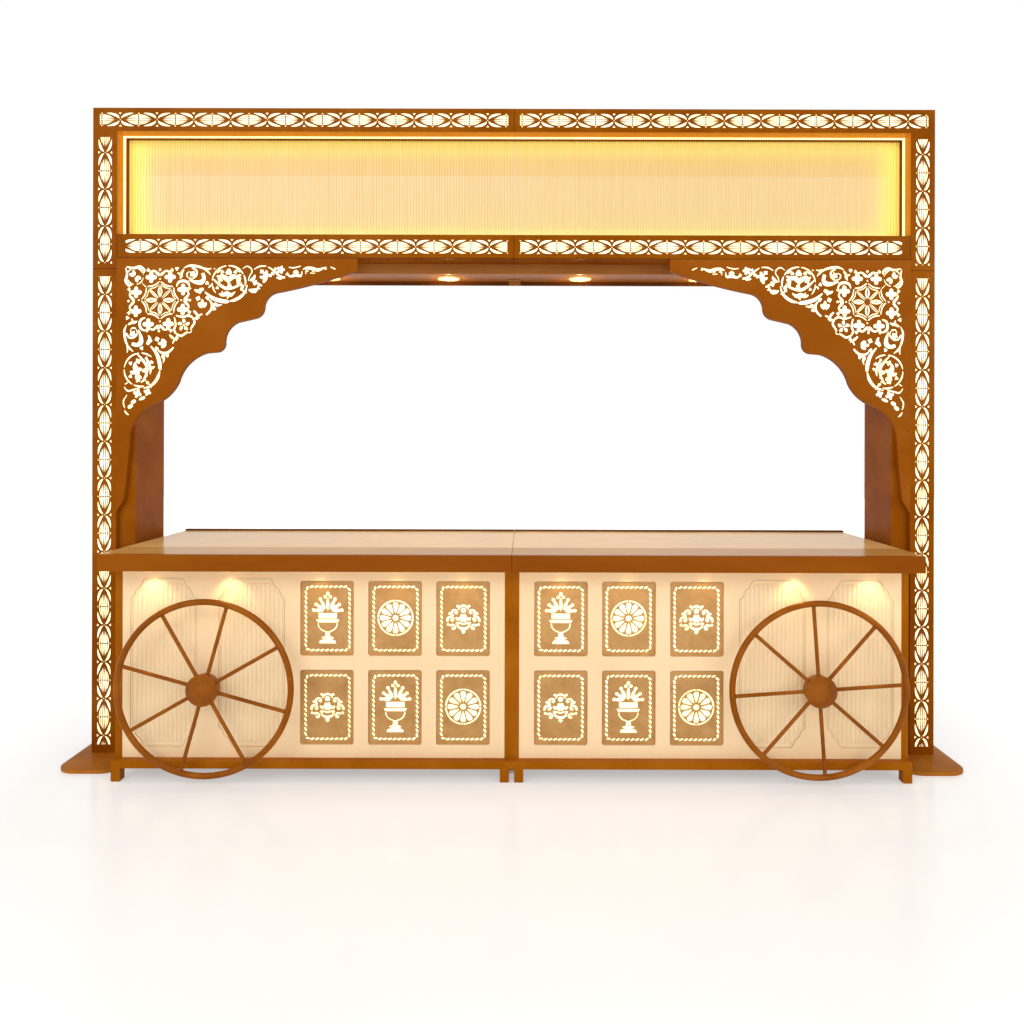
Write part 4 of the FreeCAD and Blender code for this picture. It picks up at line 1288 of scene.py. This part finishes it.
def wheel(side, body, first_angle):
    """A tube rim with its weld, and a hub with eight spokes that swell at both ends."""
    rim_x, rim_y, rim_z = span("wheel_rim_" + side)
    centre = (middle(rim_x), middle(rim_z))
    y = middle(rim_y)
    tube = (rim_y[1] - rim_y[0]) / 2
    ring = (rim_x[1] - rim_x[0]) / 2 - tube
    rim = [lathe(arc((ring, y), tube, 0, 360)[:-1], centre, 160)]
    for offset in (-0.007, 0.007):
        turn = math.radians(first_angle + 180 / SPOKES) + offset
        seat = Vector((centre[0] + ring * math.cos(turn), y, centre[1] + ring * math.sin(turn)))
        tangent = Vector((-math.sin(turn), 0, math.cos(turn))) * 1.2
        rim.append(rod(seat - tangent, seat + tangent, (tube, tube + 0.25, tube), 24))
    piece("rim_" + side, rim, WHEEL_PAINT, body, ("wheel_rim_" + side,), smooth=50)

    hub = [lathe(hub_profile(*span("wheel_hub_" + side)[1]), centre, 96)]
    base = Vector((centre[0], y, centre[1]))
    for step in range(SPOKES):
        turn = math.radians(first_angle + 360 / SPOKES * step)
        outward = Vector((math.cos(turn), 0, math.sin(turn)))
        start = base + outward * (HUB_RADIUS + 0.1)
        end = base + outward * (ring - tube - 0.1)
        run = end - start
        hub.append(rod(start, start + run * 0.03, (9, 8.2, 7)))
        hub.append(rod(start + run * 0.03, start + run * 0.985, (6.5, 6.5)))
        hub.append(rod(start + run * 0.985, end, (6.6, 7.4)))
    piece("hub_" + side, hub, WHEEL_PAINT, body, ("wheel_hub_" + side,), smooth=35)


# Front panels


def scooped(x, z, width=50, height=68):
    """An inset's outline, with a scoop of two hollow curves at each corner."""
    scoop = [
        (0, height),
        (width * 0.16, height * 0.93),
        (width * 0.3, height * 0.78),
        (width * 0.36, height * 0.6),
        (width * 0.46, height * 0.52),
        (width * 0.62, height * 0.46),
        (width * 0.74, height * 0.32),
        (width * 0.84, height * 0.14),
        (width, 0),
    ]
    points = []
    for corner_x, corner_z, way_x, way_z, forward in (
        (x[0], z[0], 1, 1, True),
        (x[1], z[0], -1, 1, False),
        (x[1], z[1], -1, -1, True),
        (x[0], z[1], 1, -1, False),
    ):
        row = [(corner_x + way_x * u, corner_z + way_z * v) for u, v in scoop]
        points += row if forward else row[::-1]
    return points


def inset_places(side):
    """The spans of the two insets on one side."""
    x, _, z = span("fluted_insets")
    outer = x[1] + INSET_GAP
    z = (z[0] - INSET_GAP, z[1] + INSET_GAP)
    spans = [(outer - INSET_PITCH - INSET_WIDTH, outer - INSET_PITCH), (outer - INSET_WIDTH, outer)]
    if side < 0:
        spans = [(-b, -a) for a, b in spans]
    return [(pair, z) for pair in spans]


def tile_places(side):
    """The column, the row and the spans of each tile on one side, from the left and from the bottom."""
    x, _, z = span("picture_tiles_" + ("left" if side < 0 else "right"))
    pitch = (x[1] - x[0] - TILE_WIDTH) / (TILE_COLUMNS - 1)
    found = []
    for row, low in enumerate((z[0], z[1] - TILE_HEIGHT)):
        for column_index in range(TILE_COLUMNS):
            left = x[0] + pitch * column_index
            found.append((column_index, row, (left, left + TILE_WIDTH), (low, low + TILE_HEIGHT)))
    return found


def front_panels():
    for suffix, side in SIDES:
        node = "front_panel_" + suffix
        x, y, z = span(node)
        windows = [
            rounded((tx[0] - 0.4, tx[1] + 0.4), (tz[0] - 0.4, tz[1] + 0.4), TILE_CORNER)
            for _, _, tx, tz in tile_places(side)
        ]
        rim_x, _, rim_z = span("wheel_rim_" + suffix)
        windows.append(ellipse((middle(rim_x), middle(rim_z)), 17, 17, 32))
        insets = [scooped(px, pz) for px, pz in inset_places(side)]
        skin = plate_solid(rectangle(x, z), windows + insets, (y[0], y[0] + 6))
        rear = plate_solid(rectangle(x, z), windows, (y[0] + 6, y[1]))
        piece("panel_" + suffix, [skin, rear], CREAM, replaced=(node,))


def reeded_insets():
    """Half-round reeds that follow the scooped outline, with a raised bead round each field."""
    back = span("fluted_insets")[1][1]
    bed = back - 1.6
    for suffix, side in SIDES:
        solids = []
        for x, z in inset_places(side):
            outline = scooped((x[0] + 1.5, x[1] - 1.5), (z[0] + 1.5, z[1] - 1.5))
            solids.append(plate_solid(outline, [], (bed, back)))
            bead_in = scooped((x[0] + 5.5, x[1] - 5.5), (z[0] + 5.5, z[1] - 5.5))
            solids.append(plate_solid(outline, [bead_in], (back - 4.6, bed)))
            pitch = (x[1] - x[0] - 2 * REED_INSET) / REED_COUNT
            for step in range(REED_COUNT):
                centre = x[0] + REED_INSET + (step + 0.5) * pitch
                low, high = z
                edge = min(centre - x[0], x[1] - centre)
                if edge < 50:
                    low, high = scoop_limits(edge, z)
                radius = pitch * 0.46
                section = [(centre - radius, bed)]
                for part in range(1, 8):
                    turn = math.pi * part / 8
                    section.append((centre - radius * math.cos(turn), bed - 3 * math.sin(turn)))
                section.append((centre + radius, bed))
                solids.append(bar_solid(section, "z", low + REED_MARGIN, high - REED_MARGIN))
        piece("reeds_" + suffix, solids, INSET_CREAM, replaced=("fluted_insets",), smooth=40)


def scoop_limits(edge, z):
    """How low and how high a reed runs at a distance from the inset's side."""
    scoop = scooped((0, 400), (0, 400))[:9]
    height = 0
    for (u, v), (next_u, next_v) in zip(scoop, scoop[1:]):
        if u <= edge <= next_u:
            height = v + (next_v - v) * (edge - u) / (next_u - u)
    return z[0] + height, z[1] - height


# Picture tiles


def rope_border(x, z):
    """A rope of short slots that follows a rectangle with round corners."""
    path = rounded(x, z, 17, 8)
    path.append(path[0])
    lengths = [0]
    for (u, v), (next_u, next_v) in zip(path, path[1:]):
        lengths.append(lengths[-1] + math.hypot(next_u - u, next_v - v))
    count = round(lengths[-1] / ROPE_PITCH)
    pitch = lengths[-1] / count

    def at(distance):
        distance %= lengths[-1]
        for index in range(len(lengths) - 1):
            if lengths[index + 1] >= distance:
                run = lengths[index + 1] - lengths[index] or 1
                share = (distance - lengths[index]) / run
                a = path[index]
                b = path[index + 1]
                length = math.hypot(b[0] - a[0], b[1] - a[1]) or 1
                return (
                    a[0] + (b[0] - a[0]) * share,
                    a[1] + (b[1] - a[1]) * share,
                    (b[0] - a[0]) / length,
                    (b[1] - a[1]) / length,
                )
        return (*path[-1], 1, 0)

    slots = []
    for step in range(count):
        u, v, du, dv = at((step + 0.5) * pitch)
        bead = turned(ellipse((0, 0), 8.6, 4.1, 14), 24)
        angle = math.degrees(math.atan2(dv, du))
        slots.append(moved(turned(bead, angle), u, v))
    return slots


def urn_shapes():
    """An urn with a bushy plant, about the tile's centre."""
    shapes = [
        [(-33, -3), (33, -3), (33, 17), (-33, 17)],
        [(-42, -5.5), (42, -5.5), (36, -17), (-36, -17)],
        stroke(flow([(-34, -19), (-31, -32), (-21, -43), (-7, -49)], 5), (5, 5, 5, 5.6)),
        stroke(flow([(34, -19), (31, -32), (21, -43), (7, -49)], 5), (5, 5, 5, 5.6)),
        [(-9, -48), (9, -48), (8, -58), (11, -65), (-11, -65), (-8, -58)],
        ellipse((0, -71), 22, 6, 20),
        [(-31, -91), (31, -91), (27, -80), (16, -76.5), (-16, -76.5), (-27, -80)],
    ]
    for sign in (-1, 1):
        for tip, width in (((50, 27), 13), ((41, 47), 13), ((26, 66), 12)):
            start = (0.3 * tip[0], 21 + 0.12 * tip[1])
            shapes.append(scaled(leaf(start, tip, width), sign, 1))
            shapes.append(scaled(ellipse(tip, 6.6, 6.6, 14), sign, 1))
        shapes.append(scaled(ellipse((9, 74), 6.4, 6.4, 14), sign, 1))
    shapes.append(leaf((0, 24), (0, 72), 12))
    shapes.append(ellipse((0, 85), 6.6, 7.6, 14))
    return shapes


def garland_shapes():
    """A scrolled garland under a crown of leaves."""
    shapes = [
        stroke(arc((0, 27), 17, 6, 174, 14), (5, 9, 5)),
        ellipse((0, 27), 9.5, 9.5, 16),
        lobed((0, 0), 16, 6, 0.3),
        stroke(flow([(-24, -27), (-10, -36), (0, -38), (10, -36), (24, -27)], 4), (5, 10, 11, 10, 5)),
        stroke(flow([(-19, -15), (0, -21), (19, -15)], 4), (4, 8, 4)),
        lobed((0, -48), 8, 4, 0.3),
    ]
    for sign in (-1, 1):
        for centre, radii, first, last, widths in (
            ((29, 19), (14, 5), -60, 250, (9, 7.4, 4)),
            ((43, -6), (14, 5), -30, 270, (9.4, 7.6, 4.2)),
            ((37, -34), (12, 4), 30, 330, (8.4, 6.6, 3.6)),
        ):
            curl = stroke(spiral(centre, radii, first, last, 20), widths)
            shapes.append(scaled(curl, sign, 1))
            shapes.append(scaled(ellipse(centre, 4, 4, 12), sign, 1))
        shapes.append(scaled(leaf((14, -10), (27, 3), 11), sign, 1))
        shapes.append(scaled(leaf((16, -26), (26, -14), 9), sign, 1))
        shapes.append(scaled(ellipse((54, -23), 5.4, 5.4, 12), sign, 1))
        shapes.append(scaled(ellipse((48, 16), 5.4, 5.4, 12), sign, 1))
        shapes.append(scaled(ellipse((20, 42), 5.4, 5.4, 12), sign, 1))
    return shapes


def medallion_tile_shapes():
    """A round medallion that a plain twelve-petalled rosette nearly fills."""
    shapes = []
    for step in range(4):
        shapes.append(stroke(arc((0, 0), 61, 90 * step + 1, 90 * step + 89, 16), (6, 6.4, 6)))
    half_petal = [(14, 0), (24, 4.4), (34, 7.2), (44, 9.8), (50, 9.4), (54, 6), (55.5, 0)]
    petal = half_petal + [(u, -v) for u, v in half_petal[-2:0:-1]]
    for step in range(12):
        shapes.append(turned(petal, 30 * step))
    shapes.append(ellipse((0, 0), 10.5, 10.5, 24))
    return shapes


def set_down(solid, x, z):
    """A copy of a solid, moved in the XZ plane."""
    corners, faces = solid
    return [(px + x, py, pz + z) for px, py, pz in corners], faces


def picture_tiles():
    makers = (garland_shapes, urn_shapes, medallion_tile_shapes)
    for suffix, side in SIDES:
        node = "picture_tiles_" + suffix
        _, y, _ = span(node)
        tiles = tile_places(side)
        _, _, x, z = tiles[0]
        across = (x[1] - x[0]) / 2
        tall = (z[1] - z[0]) / 2
        rope = rope_border((ROPE_MARGIN - across, across - ROPE_MARGIN),
            (ROPE_MARGIN - tall, tall - ROPE_TOP))
        outline = rounded((-across, across), (-tall, tall), TILE_CORNER)
        cut = [cut_plate(outline, maker() + rope, y) for maker in makers]
        solids = []
        for column_index, row, x, z in tiles:
            solids.append(set_down(cut[(column_index + row) % len(cut)], middle(x), middle(z)))
        piece("tiles_" + suffix, solids, GILT, replaced=(node,))


# Boards, plates and trims


def counter_boards():
    for suffix, side in SIDES:
        x, y, z = span("fascia_" + suffix)
        front = span("border_board_" + suffix)[1][0]
        outer = sided(side, *RETURN_BOARD)
        boards = [
            box_solid((x[0] + BOARD_SEAM, x[1] - BOARD_SEAM), (y[0], front), z),
            box_solid(outer, (front, y[1]), (z[0], span("border_board_" + suffix)[2][0])),
        ]
        piece("fascia_board_" + suffix, boards, FASCIA_BROWN,
            replaced=("fascia_" + suffix,), bevel=1.4)
        for node, name, material, slot in (
            # The border board's pale tan is a painted reflection.
            ("border_board_", "border_", BORDER_PAINTED_REFLECTION, "board_brown"),
            ("cream_top_", "worktop_", TOP, "cream_top"),
        ):
            x, y, z = span(node + suffix)
            board = box_solid((x[0] + BOARD_SEAM, x[1] - BOARD_SEAM), y, z)
            piece(name + suffix, [board], material, replaced=(node + suffix,), bevel=0.8)


def floor_plates():
    x, y, z = span("base_plates")
    for suffix, side in SIDES:
        ends = (BASE_PLATE_INNER, x[1])
        outline = rounded(ends, y, 70, 14)
        layers = []
        for inset, height in ((0.8, 0), (0, 0.8), (0, z[1] - 2.2), (0.7, z[1] - 0.7), (2.4, z[1])):
            mid = (middle(ends), middle(y))
            ring = [
                (
                    mid[0] + (px - mid[0]) * (1 - inset / (mid[0] - ends[0])),
                    mid[1] + (py - mid[1]) * (1 - inset / (mid[1] - y[0])),
                )
                for px, py in outline
            ]
            layers.append([(side * px, py, height) for px, py in ring])
        count = len(outline)
        corners = [corner for layer in layers for corner in layer]
        faces = [tuple(range(count)), tuple(range(len(corners) - 1, len(corners) - count - 1, -1))]
        for layer in range(len(layers) - 1):
            for index in range(count):
                after = (index + 1) % count
                low = layer * count
                faces.append((low + index, low + after, low + count + after, low + count + index))
        piece(
            "floor_plate_" + suffix,
            [(corners, faces)],
            PLATE_BROWN,
            replaced=("base_plates",),
            smooth=40,
        )


# Lights


def spotlights():
    """Small round lights with a bezel under the overhang, and larger ones under the ceiling; the bezels
    carry a painted glow.
    """
    for node, name, outer, centres in (
        ("panel_spotlights", "spot", 23, SPOT_PLACES),
        ("ceiling_downlights", "downlight", 46, DOWNLIGHT_PLACES),
    ):
        _, y, z = span(node)
        bezels = []
        lenses = []
        for sign in (-1, 1):
            for x in centres:
                centre = (sign * x, middle(y))
                bezel = [
                    (outer * 0.72, z[1]),
                    (outer, z[1]),
                    (outer, z[1] - 1.2),
                    (outer * 0.94, z[0] + 0.4),
                    (outer * 0.86, z[0]),
                    (outer * 0.78, z[0] + 1),
                    (outer * 0.74, z[0] + 3),
                ]
                bezels.append(upright_lathe(bezel, centre))
                glass = outer * 0.71
                lens = [(0, z[1] - 0.5), (glass, z[1] - 0.5), (glass, z[0] + 1.4), (0, z[0] + 0.2)]
                lenses.append(upright_lathe(lens, centre))
        piece(name + "_bezels", bezels, BEZEL_PAINTED_GLOW, replaced=(node,), smooth=40)
        piece(name + "_lenses", lenses, LAMP, replaced=(node,), smooth=40)


def line_channel(y, back, way):
    """The U-shaped section of a light profile, as (depth, across) points; way is towards its back."""
    face = back - way * LINE_WIDTH
    bed = back - way * LINE_WALL
    inner = (y[0] + LINE_WALL, y[1] - LINE_WALL)
    outside = [(y[0], back), (y[1], back), (y[1], face), (inner[1], face)]
    return outside + [(inner[1], bed), (inner[0], bed), (inner[0], face), (y[0], face)]


def header_lines():
    """Light profiles: a channel with a milky strip, along each edge of the header's recess."""
    x, y, z = span("header_led_profiles")
    strip_y = (y[0] + 1.6, y[1] - 1.6)
    upright = (z[0] + 6.2, z[1] - 6.2)
    for suffix, side in SIDES:
        run = sided(side, 0.6, x[1])
        channels = []
        strips = []
        for back, way in ((z[0], -1), (z[1], 1)):
            channels.append(bar_solid(line_channel(y, back, way), "x", *run))
            strips.append(box_solid(run, strip_y, sorted((back - way * 1.6, back - way * 5.6))))
        section = scaled(swapped(line_channel(y, x[1], 1)), side, 1)
        channels.append(bar_solid(section, "z", *upright))
        strips.append(box_solid(sided(side, x[1] - 1.6, x[1] - 5.6), strip_y, upright))
        # The channels carry the same painted glow as the lining.
        piece("line_channel_" + suffix, channels, LINING_PAINTED_GLOW,
            replaced=("header_led_profiles",))
        piece("line_strip_" + suffix, strips, LINE_LIGHT, replaced=("header_led_profiles",))


def header_face():
    """The reeded face at the back of the recess, with a toothed clip along its top and sides."""
    x, y, z = span("header_panel")
    inner, outer = 0.5, x[1] - 0.3
    count = int((outer - inner) / FACE_PITCH)
    pitch = (outer - inner) / count
    section = [(inner, y[1]), (inner, y[0] + 1.2)]
    for step in range(1, 6 * count + 1):
        rise = 1.1 * abs(math.sin(math.pi * step / 6))
        section.append((inner + step / 6 * pitch, y[0] + 1.2 - rise))
    section.append((outer, y[1]))
    clip_y = (y[0] - 3, y[0] - 0.2)
    for suffix, side in SIDES:
        face = bar_solid(scaled(section, side, 1), "z", z[0] + 0.3, z[1] - 0.3)
        piece("header_face_" + suffix, [face], FACE, replaced=("header_panel",), smooth=50)
        clip = [box_solid(sided(side, inner, outer), clip_y, (z[1] - 1.6, z[1] - 0.3))]
        for step in range(int((outer - inner) / CLIP_PITCH)):
            start = inner + step * CLIP_PITCH
            clip.append(box_solid(sided(side, start + 1.5, start + 6), clip_y, (z[1] - 4.6, z[1] - 1.6)))
        clip.append(box_solid(sided(side, outer - 2.2, outer), clip_y, (z[0] + 0.3, z[1] - 5.1)))
        piece("face_clip_" + suffix, clip, CEILING_BROWN)


def reveal_lining():
    """The golden sheets that line the header's recess in front of its light profiles, painted with the glow
    of those lights.
    """
    x, y, z = span("header_led_profiles")
    front = span("header_top_rail")[1][0] + 1
    depth = (front, y[0] - 0.2)
    high = z[1] - 0.2
    sheets = [box_solid((-x[1] + 0.2, x[1] - 0.2), depth, (high - LINING, high))]
    for side in (-1, 1):
        across = sided(side, x[1] - 0.2, x[1] - 0.2 - LINING)
        sheets.append(box_solid(across, depth, (z[0] + 0.2, high - LINING - 0.2)))
    piece("reveal_lining", sheets, LINING_PAINTED_GLOW)


def paint_seam_shades():
    """Thin dark strips of painted shade in the seams between the header's halves and between the pillars'
    parts, and under and beside the lifted lower rail.
    """
    strips = []
    for node in ("header_top_rail", "header_lower_rail"):
        _, y, z = span(node)
        strips.append(bar_solid(channel(y[0] + SHEET, y[1], z[0], z[1], SHEET), "x", -SEAM_SHADE_HALF, SEAM_SHADE_HALF))
        strips.append(box_solid((-SEAM_SHADE_HALF, SEAM_SHADE_HALF), (y[0] + 0.2, y[0] + SHEET), z))
    x, y, z = span("header_lower_rail")
    depth = (y[0] + 0.4, y[0] + SHEET)
    strips.append(box_solid((0.2 + x[0], x[1] - 0.2), depth, (z[0] + 0.2, z[0] + RAIL_LIFT - 0.1)))
    for side in (-1, 1):
        end = sided(side, x[1] - 0.2, x[1] - RAIL_LIFT + 0.1)
        strips.append(box_solid(end, depth, (z[0] + RAIL_LIFT, z[1] - 0.2)))
    for suffix in ("left", "right"):
        x, y, z = span("lower_column_" + suffix)
        ends = (z[1] - SEAM_SHADE_HALF, z[1] + SEAM_SHADE_HALF)
        section = [(across, depth) for depth, across in channel(y[0] + SHEET, y[1], x[0], x[1], SHEET)]
        strips.append(bar_solid(section, "z", ends[0], ends[1]))
        strips.append(box_solid(x, (y[0] + 0.2, y[0] + SHEET), ends))
    piece("seam_shade_strips", strips, SEAM_SHADE_PAINT)


def ceiling_joint():
    """The small plate that bridges the two ceiling modules in front of the rear lip."""
    lip = span("rear_lip")
    low = span("ceiling_modules")[2][0]
    plate = box_solid((-24, 24), (lip[1][0] - 60, lip[1][0] - 0.2), (low - 3, low - 0.2))
    edge = box_solid((-24, 24), (lip[1][0] - 3, lip[1][0] - 0.2), (lip[2][0] + 0.6, low - 3.2))
    piece("ceiling_joint", [plate, edge], CEILING_BROWN, bevel=0.6)


# Finishes of the CAD nodes that stay


def finish_nodes():
    for names, material in (
        (("base_frame_", "table_posts_", "top_frame_"), FRAME_BROWN),
        (("side_wall_",), BROWN),
    ):
        for name in names:
            for suffix in ("left", "right"):
                repaint(name + suffix, material)
    for name, material in (
        ("levelling_feet", FRAME_BROWN),
        ("storage_shelves", INNER_BOARD),
        ("end_panels", INNER_BOARD),
        ("tile_diffusers", DIFFUSER),
        ("tile_light_boxes", INNER_METAL),
        ("rear_edge_trim", TRIM),
        ("soffit_boards", CREAM),
        ("band_diffusers", DIFFUSER),
        ("led_bars", LAMP),
        ("header_back", INNER_METAL),
        ("ceiling_modules", CEILING_BROWN),
        ("rear_lip", TRIM),
        ("power_supplies", CASE),
        ("joining_pieces", STEEL),
        ("stub_axles", STEEL),
        ("power_inlet", BLACK),
    ):
        repaint(name, material)


def repaint(node, material):
    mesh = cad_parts[node].data
    mesh.materials.clear()
    mesh.materials.append(material)


# Studio


def lamp(name, kind, place, energy, colour=(1, 1, 1), target=None, **settings):
    """A lamp, aimed when it is given a target."""
    data = bpy.data.lights.new(name, kind)
    data.energy = energy
    data.color = colour
    for setting, value in settings.items():
        setattr(data, setting, value)
    made = bpy.data.objects.new(name, data)
    made.location = place
    bpy.context.scene.collection.objects.link(made)
    if target:
        direction = Vector(target) - made.location
        made.rotation_euler = direction.to_track_quat("-Z", "Y").to_euler()


def area_lamp(name, place, target, size, energy, colour=(1, 1, 1)):
    lamp(name, "AREA", place, energy, colour, target, shape="RECTANGLE", size=size[0], size_y=size[1])


def spot_lamp(name, place, target, energy, angle, colour):
    spot_size = math.radians(angle)
    lamp(name, "SPOT", place, energy, colour, target, spot_size=spot_size, spot_blend=0.6,
        shadow_soft_size=0.012)


def studio():
    scene = bpy.context.scene
    scene.view_settings.view_transform = "Standard"
    scene.world = bpy.data.worlds.new("studio")
    scene.world.use_nodes = True
    tree = scene.world.node_tree
    tree.nodes.clear()
    soft = add(tree, "Background", {"Color": (1, 0.97, 0.93, 1), "Strength": 0.55})
    white = add(tree, "Background", {"Color": WHITE, "Strength": 1})
    mix = add(tree, "MixShader", {0: seen_rays(tree), 1: soft.outputs[0], 2: white.outputs[0]})
    add(tree, "OutputWorld", {"Surface": mix.outputs[0]})

    mesh = bpy.data.meshes.new("floor")
    corners = [(u, v, 0) for u, v in rectangle((-FLOOR_REACH, FLOOR_REACH), (-FLOOR_REACH, FLOOR_REACH))]
    mesh.from_pydata(corners, [], [(0, 1, 2, 3)])
    mesh.materials.append(floor_material())
    floor = bpy.data.objects.new("floor", mesh)
    floor.location.z = -0.0005
    scene.collection.objects.link(floor)

    area_lamp("key", (-2.6, -4.6, 3.4), (0, 0, 1.1), (3.2, 2.2), 95)
    area_lamp("low", (0.2, -4.9, 0.9), (0, 0, 0.6), (4, 1.2), 36, (1, 0.95, 0.88))
    area_lamp("fill", (3.4, -4.2, 2.4), (0, 0, 1), (3, 2.4), 60)
    area_lamp("back", (0.5, 4.6, 3.6), (0, 0, 1.2), (3.6, 2), 70)


def seen_rays(tree):
    """1 for rays that see the backdrop straight, in a reflection or through glass."""
    path = add(tree, "LightPath").outputs
    seen = add(tree, "Math", {0: path["Is Camera Ray"], 1: path["Is Glossy Ray"]}, operation="MAXIMUM")
    both = {0: seen.outputs[0], 1: path["Is Transmission Ray"]}
    return add(tree, "Math", both, operation="MAXIMUM").outputs[0]


def floor_material():
    """A pale polished floor that stays white to the camera and keeps the object's shadow."""
    material, tree, shader = start_material("floor")
    cloud = noise(tree, places(tree), 0.8, 3)
    colour = ramp(tree, cloud, (0.3, (0.86, 0.86, 0.86, 1)), (0.7, (0.9, 0.9, 0.9, 1)))
    roughness = level(tree, cloud, 0.17, 0.23)
    fill(tree, shader, {"Base Color": colour, "Roughness": roughness, "Specular IOR Level": 0.5})
    away = add(tree, "VectorMath", {0: add(tree, "TexCoord").outputs["Object"]}, operation="LENGTH")
    brighter = level(tree, away.outputs["Value"], 1.65, 4, 1.6, 6)
    emission = add(tree, "Emission", {"Color": WHITE, "Strength": brighter})
    share = add(tree, "Math", {0: seen_rays(tree), 1: 0.25}, operation="MULTIPLY")
    mix = add(tree, "MixShader", {0: share.outputs[0], 1: shader.outputs["BSDF"], 2: emission.outputs[0]})
    output = next(node for node in tree.nodes if node.type == "OUTPUT_MATERIAL")
    fill(tree, output, {"Surface": mix.outputs[0]})
    return material


def own_lamps():
    """The light that the object's own lights throw on the panels, the worktop and the ceiling."""
    _, y, z = span("panel_spotlights")
    panel_front = span("front_panel_right")[1][0]
    _, down_y, down_z = span("ceiling_downlights")
    for sign in (-1, 1):
        for index, x in enumerate(SPOT_PLACES):
            place = (sign * x * MM, middle(y) * MM, (z[0] - 2) * MM)
            target = (sign * x * MM, panel_front * MM, (z[0] - 170) * MM)
            energy = 0.38 if index < 3 else 1
            spot_lamp(f"spot_{sign}_{index}", place, target, energy, 96, (1, 0.8, 0.4))
        for index, x in enumerate(DOWNLIGHT_PLACES):
            across, deep = sign * x * MM, middle(down_y) * MM
            place = (across, deep, (down_z[0] - 3) * MM)
            spot_lamp(f"down_{sign}_{index}", place, (across, deep, 0.8), 3, 120, (1, 0.82, 0.5))
            place = (across, deep, (down_z[0] - 26) * MM)
            lamp(f"halo_{sign}_{index}", "POINT", place, 0.45, (1, 0.72, 0.34), shadow_soft_size=0.01)


def camera():
    data = bpy.data.cameras.new("camera")
    data.sensor_width = 36
    data.lens = 30.14
    data.shift_x = -0.0127
    data.shift_y = -0.0719
    made = bpy.data.objects.new("camera", data)
    made.location = (0.044, -3.288, 1.199)
    made.rotation_euler = (math.radians(90), math.radians(-0.15), 0)
    bpy.context.scene.collection.objects.link(made)
    bpy.context.scene.camera = made


camera()
studio()
own_lamps()
finish_nodes()
columns()
header_rails()
header_lines()
header_face()
reveal_lining()
paint_seam_shades()
ceiling_joint()
brackets()
wheel("left", "wheel_left", -15.4)
wheel("right", "wheel_right", 4)
front_panels()
reeded_insets()
picture_tiles()
counter_boards()
floor_plates()
spotlights()
